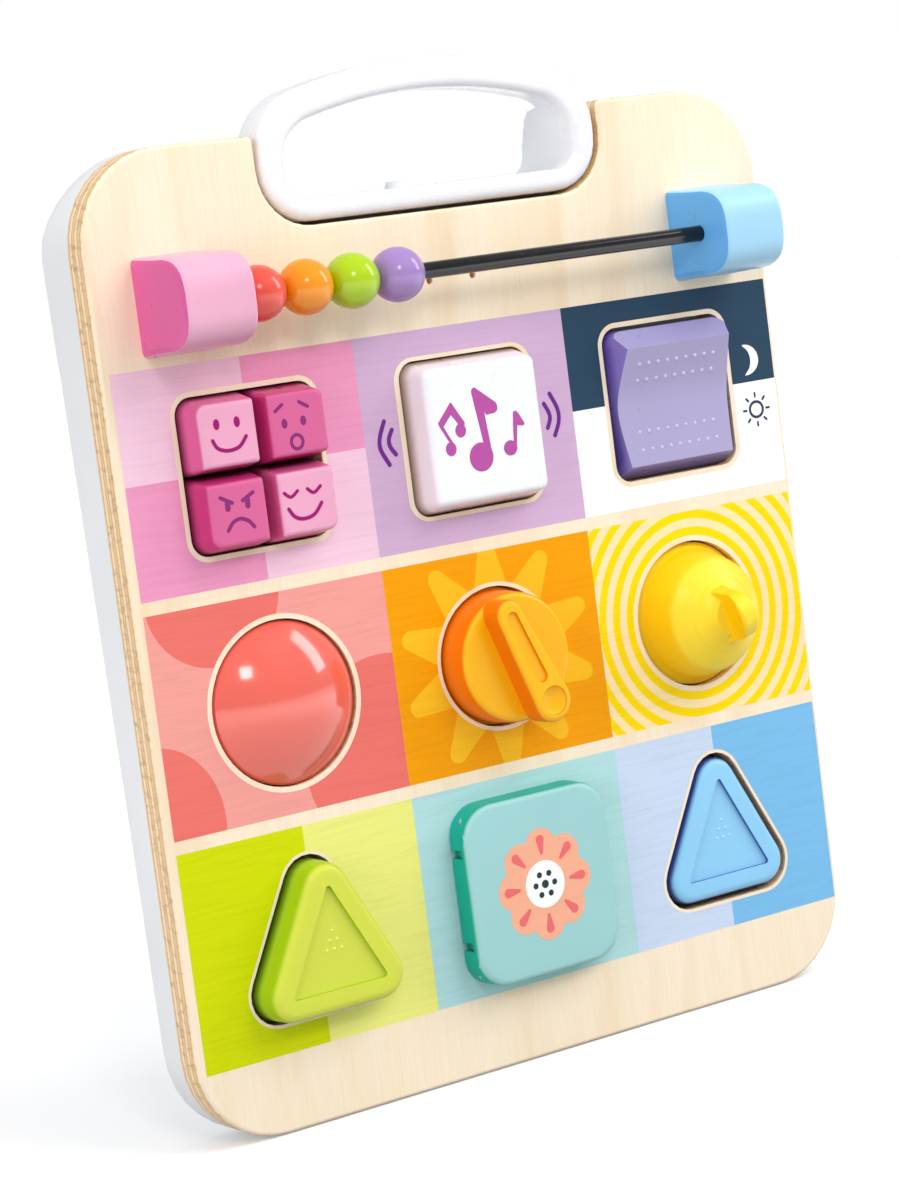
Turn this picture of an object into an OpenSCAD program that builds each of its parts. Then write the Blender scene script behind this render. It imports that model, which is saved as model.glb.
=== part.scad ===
// Wooden busy board for toddlers: a plywood face with nine play tiles and a bead rail,
// closed at the back by a white plastic shell whose top carries the handle.
// Board coordinates: x to the right, y up from the bottom edge, z out of the front face.
// upright() stands the whole thing on its bottom edge, with the front looking along -Y.

/* [Plywood board] */
// Width of the board
board_w = 248; // [244:1:270]
// Height of the board
board_h = 293; // [288:1:320]
// Thickness of the plywood
board_t = 9; // [8:0.5:10]
// Radius of the board's corners
board_corner_r = 28; // [20:1:36]
// Rounding of the board's edges
board_edge_r = 1.2; // [0.6:0.1:1.6]

/* [Handle] */
// Width of the notch that takes the handle
notch_w = 126.6; // [110:0.2:140]
// Depth of the notch below the board's top edge
notch_depth = 27.8; // [24:0.2:30]
// Radius of the notch's lower corners
notch_corner_r = 17.5; // [12:0.5:22]
// Gap between the handle and the notch
notch_gap = 1.2; // [0.6:0.1:2]
// Height of the handle above the board's top edge
handle_rise = 18.5; // [15:0.5:26]
// Width of the grip at its sides
grip_side = 8.9; // [7:0.1:11]
// Width of the grip at its top
grip_top = 9.5; // [7:0.1:12]
// Width of the bar across the bottom of the handle
grip_bar = 6.7; // [5:0.1:9]
// Depth of the grip from front to back
grip_depth = 14; // [12:0.5:18]
// Depth of the front half of the grip
grip_front_depth = 7; // [5:0.5:8]
// Rounding of the grip's edges
grip_edge_r = 2.6; // [1:0.2:3.4]

/* [Rear shell] */
// Depth of the toy at its bottom edge, plywood and shell together
depth_bottom = 21.3; // [21:0.1:26]
// Depth of the toy at its top edge, plywood and shell together
depth_top = 29.2; // [28.6:0.1:34]
// Wall of the shell
shell_wall = 2.2; // [1.6:0.1:2.4]
// Rounding of the shell's rear edges
shell_edge_r = 4; // [2.5:0.5:6]
// Rounding of the shell's rear edge along the top
shell_shoulder_r = 16; // [8:1:18]

/* [Tiles and rows] */
// Distance between the centres of the columns
column_pitch = 78.2; // [76:0.2:80]
// Height of a row of tiles
tile_h = 66.1; // [63:0.1:68]
// Bare plywood between two rows
tile_gap = 4; // [3:0.5:6]
// Distance of the middle column from the board's centre line
grid_shift = 0.4; // [0:0.1:1]
// Distance from the bead rail down to the first row
rail_to_grid = 17.5; // [16:0.5:20]
// Distance from the notch down to the bead rail
notch_to_rail = 17.7; // [16.5:0.1:20]

/* [Bead rail] */
// Diameter of the rod
rod_d = 5; // [4:0.5:6]
// Height of the rod above the board
rod_height = 15; // [13:0.5:17]
// Diameter of a bead
bead_d = 16.6; // [14:0.1:18]
// Free space between two beads
bead_gap = 0.4; // [0.2:0.1:1]
// Radial clearance of the beads on the rod
bead_clearance = 0.08; // [0.04:0.01:0.1]
// Length of a bracket along the rod
bracket_l = 23.8; // [20:0.2:28]
// Height of a bracket above the board
bracket_rise = 28.8; // [27:0.2:33]
// Size of a bracket up the board
bracket_h = 29; // [27:0.5:30]
// Distance between the facing sides of the brackets
rail_span = 171.9; // [150:0.5:180]

/* [Emotion, music and rocker keys] */
// Width of the hole for the four emotion keys
emotion_hole_w = 48; // [44:0.5:52]
// Height of the hole for the four emotion keys
emotion_hole_h = 46.8; // [44:0.2:50]
// Side of the music key's hole
music_hole = 47.6; // [44:0.2:50]
// Side of the rocker's hole
rocker_hole = 49; // [46:0.5:51]
// Corner radius of the square holes
hole_corner_r = 5.5; // [4:0.5:7]
// Gap between a key and its hole
key_gap = 0.5; // [0.3:0.1:0.8]
// Gap between two emotion keys
key_split = 0.6; // [0.4:0.1:1]
// Height of the keys above the board
key_rise = 9; // [7:0.5:10]
// Travel of a key
key_travel = 3; // [2:0.5:3]
// Tilt of the rocker to either side, in degrees
rocker_tilt = 7.3; // [5:0.1:8]
// Height of the level rocker's ends above the board
rocker_rise = 5.7; // [4:0.1:7]

/* [Dome, dial and knob] */
// Radius of the dome's hole
dome_hole_r = 25; // [22:0.5:27]
// Height of the dome above the board
dome_rise = 9; // [7:0.5:11]
// Radius of the dial's hole
dial_hole_r = 21.8; // [19:0.2:24]
// Height of the dial's face
dial_rise = 10; // [8:0.5:12]
// Height of the dial's grip above its face
dial_grip_h = 8; // [5:0.5:10]
// Radius of the knob's hole
knob_hole_r = 23.5; // [21:0.5:25]
// Height of the knob's paddle above the board
knob_rise = 28; // [24:0.5:32]
// Radius of the shafts of the dial and the knob
shaft_r = 4; // [3:0.5:5]
// Radial clearance of the turning shafts
shaft_clearance = 0.06; // [0.03:0.01:0.1]

/* [Seesaw triangles] */
// Width of a triangle's hole
triangle_hole_w = 50; // [46:0.5:52]
// Height of a triangle's hole
triangle_hole_h = 48.4; // [44:0.2:50]
// Corner radius of a triangle's hole
triangle_corner_r = 9.5; // [7:0.5:11]
// Gap between a triangle and its hole
triangle_gap = 1.2; // [0.5:0.1:1.6]
// Height of the raised triangle above the board
triangle_rise = 10.5; // [9.5:0.5:11.5]
// Travel of a triangle
triangle_travel = 9; // [6:0.5:9]
// Depth of the panel in a triangle's face
triangle_panel = 1.2; // [0.6:0.1:1.6]

/* [Flap and mirror] */
// Width of the flap
flap_w = 55; // [50:0.5:58]
// Height of the flap up the board
flap_h = 57.2; // [52:0.2:60]
// Thickness of the flap, from the board to its face
flap_rise = 8.6; // [7:0.1:11]
// Corner radius of the flap
flap_corner_r = 11; // [8:0.5:14]
// Wall of the flap
flap_wall = 2; // [1.5:0.1:2.4]
// Distance of the flap's hinge pin from its side
hinge_inset = 2.6; // [2.3:0.1:3]
// Height of the flap's hinge pin above the board
hinge_height = 4.3; // [4.2:0.1:4.6]
// Distance between the two hinge lugs
hinge_span = 29; // [24:0.5:34]

/* [Hidden] */

$fn = 48;

// Play left between pieces that must not touch
play = 0.3;
// Small step by which a cut runs past the face it opens
cut = 0.5;

// Heights of the rail and of the rows above the bottom edge
notch_floor_y = board_h - notch_depth;
rail_y = notch_floor_y - notch_to_rail;
grid_top_y = rail_y - rail_to_grid;
function column_x(k) = grid_shift + k * column_pitch;
function row_y(k) = grid_top_y - tile_h / 2 - k * (tile_h + tile_gap);

// Rear face of the shell, which leans away from the plywood towards the top
back_slope = (depth_top - depth_bottom) / board_h;
back_angle = atan(back_slope);
function back_z(y) = -depth_bottom - back_slope * y;

// Carrier deck behind the plywood, and the circuit board behind the deck
deck_t = 2;
deck_z = -board_t - deck_t;
circuit_t = 1.6;
circuit_z = -board_t - 10;
deck_margin = 5;
flange_t = 1.5;
flange_z = deck_z - play - flange_t;
flange_reach = 1.6;
key_wall = 2.6;
return_top_z = flange_z + 0.6;

// Screws, and the bosses that they go into
case_screw_r = 1.5;
screw_play = 0.08;
boss_r = 3.6;
boss_wall = 1.4;
boss_joint_z = -board_t - 6;
case_floor = 2.4;
case_head_r = 3;
case_head_h = 1.8;

// Beads, counted from the pink bracket
bead_bore_r = rod_d / 2 + bead_clearance;
bead_length = sqrt(bead_d * bead_d - 4 * bead_bore_r * bead_bore_r);
first_bead_x = -rail_span / 2 + grid_shift + play + bead_length / 2;
bead_pitch = bead_length + bead_gap;

// Rocker, dial, knob and seesaw mechanisms
rocker_axis_z = -3.6;
rocker_pin_r = 1.5;
rocker_w = rocker_hole - 2 * key_gap - 0.4;
rocker_wall = 2.4;
rocker_half = 18.9;
rocker_dip = 4.2;
rocker_soft = 6;
retainer_t = 1.4;
bearing_z = -board_t - 7;
lever_axis_z = -board_t - 5.3;
lever_half_t = 1.5;
lever_w = 8;
lever_pin_r = 1.5;
lever_tilt = asin(triangle_travel / 2 / column_pitch);

// Battery box in the rear shell, in coordinates that follow the shell's rear face
cell_r = 5.2;
cell_l = 43.5;
cell_pitch = 10.9;
box_w = cell_l + 8.5;
box_h = 34;
box_v = rail_y - 3.4;
box_depth = 12.3;
box_wall = 1.5;
door_t = 1.8;
door_w = box_w + 5;
door_h = box_h + 14;
door_v = box_v - 3.5;
door_screw_v = door_v - door_h / 2 + 5;
slider_u = 44;
slider_l = 7;
slider_w = 4.4;
slider_travel = 4;

// Hinge of the flap: two lugs sunk into the plywood carry a pin along the flap's left side
flap_y = row_y(2) - 1.1;
hinge_x = grid_shift - flap_w / 2 + hinge_inset;
lug_t = 1.8;
lug_depth = 5;
lug_head_r = 1.7;
lug_back = 0.6;
lug_front = 2.6;
hinge_pin_r = 0.8;
knuckle_l = 5;

// ---------- outlines and skins ----------

function unit(v) = v / norm(v);
function left_of(v) = [-v.y, v.x];
// Points of an arc about a centre, from angle a to angle b
function arc(c, r, a, b, n = 6) =
    [for (i = [0:n]) let (t = a + (b - a) * i / n) c + r * [cos(t), sin(t)]];

// Point i of a closed outline, moved inwards by d
function inner_point(p, i, d) =
    let (
        n = len(p),
        before = left_of(unit(p[i] - p[(i + n - 1) % n])),
        after = left_of(unit(p[(i + 1) % n] - p[i])),
        m = unit(before + after)
    )
    p[i] + m * d / (m * before);
function inset(p, d) = [for (i = [0:len(p) - 1]) inner_point(p, i, d)];
function moved(p, v) = [for (q = p) q + v];
function at_z(p, z) = [for (q = p) [q.x, q.y, z]];

// Rectangle centred on the origin, with a corner radius for each quadrant
function round_rect4(w, h, r, n = 6) = concat(
    arc([w / 2 - r[0], h / 2 - r[0]], r[0], 0, 90, n),
    arc([-w / 2 + r[1], h / 2 - r[1]], r[1], 90, 180, n),
    arc([-w / 2 + r[2], -h / 2 + r[2]], r[2], 180, 270, n),
    arc([w / 2 - r[3], -h / 2 + r[3]], r[3], 270, 360, n));
function round_rect(w, h, r, n = 6) = round_rect4(w, h, [r, r, r, r], n);

// Skin over a stack of rings with the same number of points, lowest ring first
module skin(rings) {
    n = len(rings[0]);
    count = len(rings);
    points = [for (ring = rings) for (p = ring) p];
    walls = [for (k = [0:count - 2]) for (i = [0:n - 1])
        [k * n + i, (k + 1) * n + i, (k + 1) * n + (i + 1) % n, k * n + (i + 1) % n]];
    floor_face = [for (i = [0:n - 1]) i];
    roof_face = [for (i = [n - 1:-1:0]) (count - 1) * n + i];
    polyhedron(points, concat([floor_face], walls, [roof_face]));
}

// Slab over an outline from z0 to z1, with rounded lower and upper edges and a draft
module slab(outline, z0, z1, r0 = 0, r1 = 0, draft = 0, steps = 3) {
    low = r0 == 0 ? [[z0, 0]] : [for (i = [0:steps]) let (a = 90 * i / steps)
        [z0 + r0 * (1 - cos(a)), r0 * (1 - sin(a))]];
    high = r1 == 0 ? [[z1, 0]] : [for (i = [0:steps]) let (a = 90 * i / steps)
        [z1 - r1 * (1 - sin(a)), r1 * (1 - cos(a))]];
    skin([for (s = concat(low, high)) at_z(inset(outline, s[1] + draft * (s[0] - z0) / (z1 - z0)), s[0])]);
}

// What rounding off the upper edge of a prism takes away, as one closed ring round its outline
module edge_waste(outline, z, r, steps = 3) {
    round = [for (i = [0:steps]) let (a = 90 * i / steps) [z - r * (1 - sin(a)), r * (1 - cos(a))]];
    reach = [round[0] + 2 * (round[0] - round[1]), 2 * round[steps] - round[steps - 1]];
    levels = concat(
        [reach[0]], [for (i = [1:steps - 1]) round[i]],
        [reach[1], [z + 1, reach[1][1]], [z + 1, -2], [reach[0][0], -2]]);
    n = len(outline);
    count = len(levels);
    points = [for (s = levels) for (p = inset(outline, s[1])) [p.x, p.y, s[0]]];
    polyhedron(points, [for (k = [0:count - 1]) for (i = [0:n - 1])
        let (up = ((k + 1) % count) * n, next = (i + 1) % n)
        [k * n + i, k * n + next, up + next, up + i]]);
}

module prism(outline, z0, z1) {
    translate([0, 0, z0])
        linear_extrude(z1 - z0)
            polygon(outline);
}

module rod(r, z0, z1) {
    translate([0, 0, z0])
        cylinder(r = r, h = z1 - z0);
}

module at(x, y, z = 0) {
    translate([x, y, z])
        children();
}

// Stands the flat board on its bottom edge, with the plywood's middle plane over the origin
module upright() {
    translate([0, -board_t / 2, 0])
        rotate([90, 0, 0])
            children();
}

// Places children on the shell's rear face: x across, y up the face, z inwards
module on_back() {
    translate([0, 0, -depth_bottom])
        rotate([-back_angle, 0, 0])
            children();
}

// ---------- outlines of the main pieces ----------

half_notch = notch_w / 2;
notch_lip_r = 2;

// Board outline with the handle's notch, counter-clockwise from the lower right corner
board_outline = let (
        x = board_w / 2 - board_corner_r,
        y = board_h - board_corner_r,
        lip_y = board_h - notch_lip_r,
        floor_c = [half_notch - notch_corner_r, notch_floor_y + notch_corner_r]
    )
    concat(
        arc([x, board_corner_r], board_corner_r, -90, 0, 8),
        arc([x, y], board_corner_r, 0, 90, 8),
        arc([half_notch + notch_lip_r, lip_y], notch_lip_r, 90, 180, 4),
        arc(floor_c, notch_corner_r, 0, -90, 8),
        arc([-floor_c.x, floor_c.y], notch_corner_r, -90, -180, 8),
        arc([-half_notch - notch_lip_r, lip_y], notch_lip_r, 0, 90, 4),
        arc([-x, y], board_corner_r, 90, 180, 8),
        arc([-x, board_corner_r], board_corner_r, 180, 270, 8));

// Arched ring outline: straight sides, rounded lower corners, shoulders and a flat arch
function arch_outline(half_w, floor_y, top_y, floor_r, shoulder_r, arch_r) =
    let (
        sx = half_w - shoulder_r,
        arch_c = [0, top_y - arch_r],
        sy = arch_c.y + sqrt(pow(arch_r - shoulder_r, 2) - sx * sx),
        a = atan2(sy - arch_c.y, sx)
    )
    concat(
        arc([half_w - floor_r, floor_y + floor_r], floor_r, -90, 0, 7),
        arc([sx, sy], shoulder_r, 3, a, 7),
        arc(arch_c, arch_r, a + 3, 177 - a, 9),
        arc([-sx, sy], shoulder_r, 180 - a, 177, 7),
        arc([-half_w + floor_r, floor_y + floor_r], floor_r, 180, 270, 7));

handle_outer = arch_outline(half_notch - notch_gap, notch_floor_y + notch_gap, board_h + handle_rise,
    notch_corner_r - notch_gap, 20, 180);
hand_hole = arch_outline(half_notch - notch_gap - grip_side, notch_floor_y + notch_gap + grip_bar,
    board_h + handle_rise - grip_top, 6, 14, 165);

// Rounded triangle, point up, centred on its own height
function triangle_outline(r) =
    let (
        base_x = triangle_hole_w / 2 - triangle_corner_r,
        apex_y = triangle_hole_h / 2 - triangle_corner_r,
        lean = atan2(base_x, 2 * apex_y)
    )
    concat(
        arc([base_x, -apex_y], r, -90, lean, 7),
        arc([0, apex_y], r, lean, 180 - lean, 7),
        arc([-base_x, -apex_y], r, 180 - lean, 270, 7));

// ---------- plywood ----------

bracket_x = [for (s = [-1, 1]) grid_shift + s * (rail_span + bracket_l) / 2];
bracket_screw_r = 1.4;
bracket_screw_y = [rail_y - 7, rail_y + 7];
bracket_head_r = 2.8;
bracket_head_h = 2;
bracket_screw_depth = 9;
deck_screw_x = board_w / 2 - 12;
deck_screw_at = [for (x = [-deck_screw_x, deck_screw_x]) for (y = [row_y(1.5), row_y(0), rail_y]) [x, y]];
deck_screw_r = 1.2;
deck_screw_depth = 5.5;
sound_y = rail_y - 3.4;
sound_hole_r = 1.1;
sound_hole_x = 8;

// Holes that the keys, the dome, the dial, the knob and the triangles pass through
module tile_holes(z0, z1) {
    at(column_x(-1), row_y(0))
        prism(round_rect(emotion_hole_w, emotion_hole_h, hole_corner_r), z0, z1);
    at(column_x(0), row_y(0))
        prism(round_rect(music_hole, music_hole, hole_corner_r), z0, z1);
    at(column_x(-1), row_y(1))
        rod(dome_hole_r, z0, z1);
}

module wood_board() {
    z0 = -board_t - cut;
    color("burlywood")
        difference() {
            prism(board_outline, -board_t, 0);
            edge_waste(board_outline, 0, board_edge_r);
            tile_holes(z0, cut);
            at(column_x(1), row_y(0))
                prism(round_rect(rocker_hole, rocker_hole, hole_corner_r), z0, cut);
            at(column_x(0), row_y(1))
                rod(dial_hole_r, z0, cut);
            at(column_x(1), row_y(1))
                rod(knob_hole_r, z0, cut);
            for (k = [-1, 1])
                at(column_x(k), row_y(2))
                    prism(triangle_outline(triangle_corner_r), z0, cut);
            for (s = [-1, 1])
                at(grid_shift + s * sound_hole_x, sound_y)
                    rod(sound_hole_r, z0, cut);
            for (x = bracket_x)
                for (y = bracket_screw_y)
                    at(x, y) {
                        rod(bracket_screw_r + screw_play, z0, cut);
                        rod(bracket_head_r + screw_play, z0, -board_t + bracket_head_h);
                    }
            for (p = deck_screw_at)
                at(p.x, p.y)
                    rod(deck_screw_r + screw_play, z0, -board_t + deck_screw_depth + play);
            for (s = [-1, 1])
                at(hinge_x, flap_y + s * hinge_span / 2)
                    translate([-lug_back - screw_play, -lug_t / 2 - screw_play, -lug_depth])
                        cube([lug_back + lug_front + 2 * screw_play, lug_t + 2 * screw_play,
                            lug_depth + cut]);
        }
}

// ---------- rear shell and handle ----------

case_screw_at = [
    [-deck_screw_x, row_y(2) - 10], [deck_screw_x, row_y(2) - 10],
    [-deck_screw_x, row_y(0.5)], [deck_screw_x, row_y(0.5)],
    [-column_pitch, rail_y], [column_pitch, rail_y],
    [-column_pitch / 2, 14], [column_pitch / 2, 14]];

// Rounding of the shell's rear edge at a height: small all round, large along the top
function rear_edge_r(y) =
    let (t = min(1, max(0, (y - board_h + board_corner_r) / board_corner_r)))
    shell_edge_r + (shell_shoulder_r - shell_edge_r) * t * t * (3 - 2 * t);

// Tray down to the leaning rear face, smaller all round by a wall
module tray(wall, front_z) {
    outline = moved(round_rect(board_w, board_h, board_corner_r, 8), [0, board_h / 2]);
    rear = [for (a = [0:18:90]) [for (i = [0:len(outline) - 1]) let (
            r = max(1, rear_edge_r(outline[i].y) - wall),
            q = inner_point(outline, i, wall + r * (1 - sin(a)))
        )
        [q.x, q.y, back_z(q.y) + wall + r * (1 - cos(a))]]];
    skin(concat(rear, [at_z(inset(outline, wall), front_z)]));
}

// Ring of the handle between two depths, with rounded front and rear edges
module grip_ring(z0, z1, r0, r1) {
    rings = concat(
        [[z0 - cut, r0]],
        [for (a = [0:30:90]) [z0 + r0 * (1 - cos(a)), r0 * (1 - sin(a))]],
        [for (a = [0:30:90]) [z1 - r1 * (1 - sin(a)), r1 * (1 - cos(a))]],
        [[z1 + cut, r1]]);
    difference() {
        slab(handle_outer, z0, z1, r0, r1);
        skin([for (i = [0:len(rings) - 1])
            if (i == 0 || rings[i] != rings[i - 1])
                at_z(inset(hand_hole, -rings[i][1]), rings[i][0])]);
    }
}

// Battery box, the ledge that its door rests on and the boss of the door's screw
module box_walls() {
    translate([-box_w / 2 - box_wall, box_v - box_h / 2 - box_wall, shell_wall / 2])
        cube([box_w + 2 * box_wall, box_h + 2 * box_wall, door_t + box_depth - shell_wall / 2]);
    translate([-boss_r, door_screw_v - boss_r, shell_wall / 2])
        cube([2 * boss_r, 2 * boss_r, 9]);
    translate([-door_w / 2 - 2, door_v - door_h / 2 - 2, shell_wall / 2])
        cube([door_w + 4, door_h + 4, door_t + 1.4 - shell_wall / 2]);
}

module box_hollow() {
    translate([-box_w / 2, box_v - box_h / 2, -2])
        cube([box_w, box_h, 2 + door_t + box_depth - box_wall]);
    translate([-door_w / 2 - play, door_v - door_h / 2 - play, -2])
        cube([door_w + 2 * play, door_h + 2 * play, 2 + door_t]);
    at(0, door_screw_v)
        rod(case_screw_r + screw_play, 0, 7.5);
}

// What stands inside the shell: the hand hole's walls, the battery box and the screw bosses
module shell_inside() {
    prism(inset(hand_hole, -shell_wall), -2 * depth_top, cut);
    on_back()
        box_walls();
    for (p = case_screw_at)
        at(p.x, p.y)
            rod(boss_r + boss_wall, -2 * depth_top, boss_joint_z);
}

thumb_bump_r = 5.5;

module rear_shell() {
    color("white")
        difference() {
            union() {
                difference() {
                    union() {
                        difference() {
                            tray(0, -board_t);
                            difference() {
                                tray(shell_wall, -board_t + cut);
                                shell_inside();
                            }
                        }
                        grip_ring(-grip_depth, -grip_front_depth, grip_edge_r, 0);
                    }
                    prism(hand_hole, -2 * depth_top, cut);
                }
                at(0, notch_floor_y + notch_gap + grip_bar - 2, -grip_depth - thumb_bump_r - 2)
                    rotate([-90, 0, 0])
                        cylinder(r1 = thumb_bump_r, r2 = thumb_bump_r - 1.6, h = 4.4);
            }
            on_back() {
                box_hollow();
                translate([slider_u - slider_l / 2 - play, box_v - slider_w / 2 - play, -cut])
                    cube([slider_l + slider_travel + 2 * play, slider_w + 2 * play, shell_wall + 2]);
            }
            for (p = case_screw_at)
                at(p.x, p.y) {
                    rod(case_head_r + play, -2 * depth_top, boss_joint_z - case_floor);
                    rod(case_screw_r + screw_play, -depth_top, 0);
                }
        }
}

module handle_front() {
    color("white")
        grip_ring(-grip_front_depth, 0, 0, grip_edge_r);
}

module battery_door() {
    color("whitesmoke")
        on_back()
            difference() {
                translate([0, door_v, 0])
                    prism(round_rect(door_w, door_h, 2), 0, door_t);
                at(0, door_screw_v)
                    rod(case_screw_r + screw_play, -1, door_t + 1);
                at(0, door_screw_v)
                    rod(case_head_r, -1, 0.8);
                for (k = [0:4])
                    translate([-door_w / 4, door_v + door_h / 2 - 6 - 2.4 * k, -1])
                        cube([door_w / 2, 1, 1.6]);
            }
}

// Cross-head screw whose head sits under z = 0, with its shank above
module screw(r, length, head_r, head_h) {
    rod(r, 0, length);
    difference() {
        rod(head_r, -head_h, 0);
        for (a = [0, 90])
            rotate([0, 0, a])
                translate([-head_r * 0.6, -head_r * 0.12, -head_h - 1])
                    cube([head_r * 1.2, head_r * 0.24, 1 + head_h * 0.5]);
    }
}

module door_screw() {
    color("silver")
        on_back()
            at(0, door_screw_v, 0.8)
                screw(case_screw_r, 6, case_head_r - 0.4, 0.8);
}

module case_screws() {
    color("silver")
        for (p = case_screw_at)
            at(p.x, p.y, boss_joint_z - case_floor)
                screw(case_screw_r, case_floor + 4.4, case_head_r, case_head_h);
}

// Three cells side by side, alternately turned
module batteries() {
    color("dimgray")
        on_back()
            for (k = [-1:1])
                translate([0, box_v + k * cell_pitch, door_t + cell_r + play])
                    rotate([0, k == 0 ? -90 : 90, 0]) {
                        rod(cell_r, -cell_l / 2, cell_l / 2);
                        rod(1.9, cell_l / 2 - cut, cell_l / 2 + 1);
                    }
}

contact_t = 0.6;

// Spring plates at both ends of every cell
module battery_contacts() {
    color("silver")
        on_back()
            for (s = [-1, 1])
                for (k = [-1:1])
                    translate([s * (box_w / 2 - contact_t), box_v + k * cell_pitch, door_t + cell_r + play])
                        rotate([0, -s * 90, 0]) {
                            nub = (k == 0 ? -s : s) > 0 ? 1 : 0;
                            translate([-4.5, -4.5, -contact_t])
                                cube([9, 9, contact_t]);
                            cylinder(r1 = 3.4, r2 = 2.2 - nub, h = (box_w - cell_l) / 2 - contact_t - nub);
                        }
}

module power_slider() {
    color("dimgray")
        on_back()
            translate([slider_u, box_v, 0]) {
                translate([-slider_l / 2, -slider_w / 2, 0.5])
                    cube([slider_l, slider_w, shell_wall + 1]);
                translate([-slider_l / 2 - 1.5, -slider_w / 2 - 1.5, shell_wall + play])
                    cube([slider_l + 3, slider_w + 3, 1.2]);
                for (k = [-1:1])
                    translate([k * 1.8 - 0.4, -slider_w / 2 + 0.4, 0])
                        cube([0.8, slider_w - 0.8, 1]);
            }
}

// ---------- carrier deck, circuit board and electrics ----------

deck_top_y = notch_floor_y - 2.5;
deck_low_y = deck_margin + 1;
speaker_r = 12;
speaker_t = 4;
ear_t = 2.4;
ear_w = 8;
ear_r = 2.4;
ear_reach = 3.5;
circuit_w = 2 * column_pitch + 48;
circuit_h = row_y(-0.47) - row_y(1.45);
circuit_notch_w = door_w + 9;
circuit_notch_y = row_y(-0.2);
circuit_post_r = 2.6;
circuit_screw_r = 1.1;
circuit_post_at = concat(
    [for (k = [-0.5, 0.5]) for (j = [-0.42, 0.5, 1.4]) [column_x(k), row_y(j)]],
    [[column_x(-1.25), row_y(0.5)], [column_x(1.25), row_y(0.5)]]);

module deck_solids() {
    deck_h = deck_top_y - deck_low_y;
    at(0, deck_low_y + deck_h / 2)
        prism(round_rect(board_w - 2 * deck_margin, deck_h, board_corner_r - deck_margin),
            deck_z, -board_t);
    // Bearings of the dial and the knob
    for (k = [0, 1])
        at(column_x(k), row_y(1))
            rod(shaft_r + 2.4, bearing_z, -board_t);
    // Ears of the rocker's pin
    for (s = [-1, 1])
        at(column_x(1) + s * (rocker_w / 2 - rocker_wall - play - ear_t / 2), row_y(0)) {
            translate([-ear_t / 2, -ear_r, -board_t - cut])
                cube([ear_t, 2 * ear_r, rocker_axis_z + board_t + cut]);
            at(0, 0, rocker_axis_z)
                rotate([0, 90, 0])
                    rod(ear_r, -ear_t / 2, ear_t / 2);
        }
    // Ears of the seesaw's pin
    for (s = [-1, 1])
        at(column_x(0), row_y(2) + s * (lever_w / 2 + play + ear_t / 2))
            translate([-ear_w / 2, -ear_t / 2, lever_axis_z - ear_reach])
                cube([ear_w, ear_t, -board_t - lever_axis_z + ear_reach]);
    for (p = case_screw_at)
        at(p.x, p.y)
            rod(boss_r, boss_joint_z, -board_t);
    for (p = circuit_post_at)
        at(p.x, p.y)
            rod(circuit_post_r, circuit_z, -board_t);
}

module inner_deck() {
    z0 = deck_z - cut;
    color("gainsboro")
        difference() {
            deck_solids();
            tile_holes(z0, cut);
            for (k = [-1, 1])
                at(column_x(k), row_y(2))
                    prism(triangle_outline(triangle_corner_r + flange_reach + 1), z0, cut);
            // Path of the seesaw
            translate([column_x(-1), row_y(2) - lever_w / 2 - play, z0])
                cube([2 * column_pitch, lever_w + 2 * play, deck_t + 2 * cut]);
            for (k = [0, 1])
                at(column_x(k), row_y(1))
                    rod(shaft_r + shaft_clearance, bearing_z - cut, cut);
            at(column_x(1), row_y(0), rocker_axis_z)
                rotate([0, 90, 0])
                    rod(rocker_pin_r + shaft_clearance, -rocker_hole, rocker_hole);
            at(column_x(0), row_y(2), lever_axis_z)
                rotate([90, 0, 0])
                    rod(lever_pin_r + shaft_clearance, -lever_w * 2, lever_w * 2);
            at(grid_shift, sound_y)
                rod(speaker_r + play, z0, cut);
            for (p = case_screw_at)
                at(p.x, p.y)
                    rod(case_screw_r + screw_play, boss_joint_z - cut, cut);
            for (p = circuit_post_at)
                at(p.x, p.y)
                    rod(circuit_screw_r + screw_play, circuit_z - cut, deck_z - 1);
            for (p = deck_screw_at)
                at(p.x, p.y)
                    rod(deck_screw_r + screw_play, z0, cut);
        }
}

module deck_screws() {
    color("silver")
        for (p = deck_screw_at)
            at(p.x, p.y, deck_z)
                screw(deck_screw_r, deck_t + deck_screw_depth, 2.4, 1.4);
}

module circuit_board() {
    color("seagreen")
        difference() {
            at(grid_shift, row_y(1.45) + circuit_h / 2)
                prism(round_rect(circuit_w, circuit_h, 3), circuit_z - circuit_t, circuit_z);
            translate([-circuit_notch_w / 2, circuit_notch_y, circuit_z - circuit_t - cut])
                cube([circuit_notch_w, board_h, circuit_t + 2 * cut]);
            for (p = circuit_post_at)
                at(p.x, p.y)
                    rod(circuit_screw_r + screw_play, circuit_z - circuit_t - cut, circuit_z + cut);
        }
}

module circuit_screws() {
    color("silver")
        for (p = circuit_post_at)
            at(p.x, p.y, circuit_z - circuit_t)
                screw(circuit_screw_r, circuit_t + 4, 2, 0.8);
}

module speaker() {
    color("dimgray")
        at(grid_shift, sound_y, -board_t) {
            rod(speaker_r, -1.5, 0);
            rod(speaker_r - 3.5, -speaker_t, 0);
        }
}

light_offset = 10;

module dome_light() {
    color("white")
        for (s = [-1, 1])
            at(column_x(-1) + s * light_offset, row_y(1), circuit_z) {
                rod(2.6, 0, 0.8);
                rod(2.2, 0, 3);
                at(0, 0, 3)
                    sphere(r = 2.2);
            }
}

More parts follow.
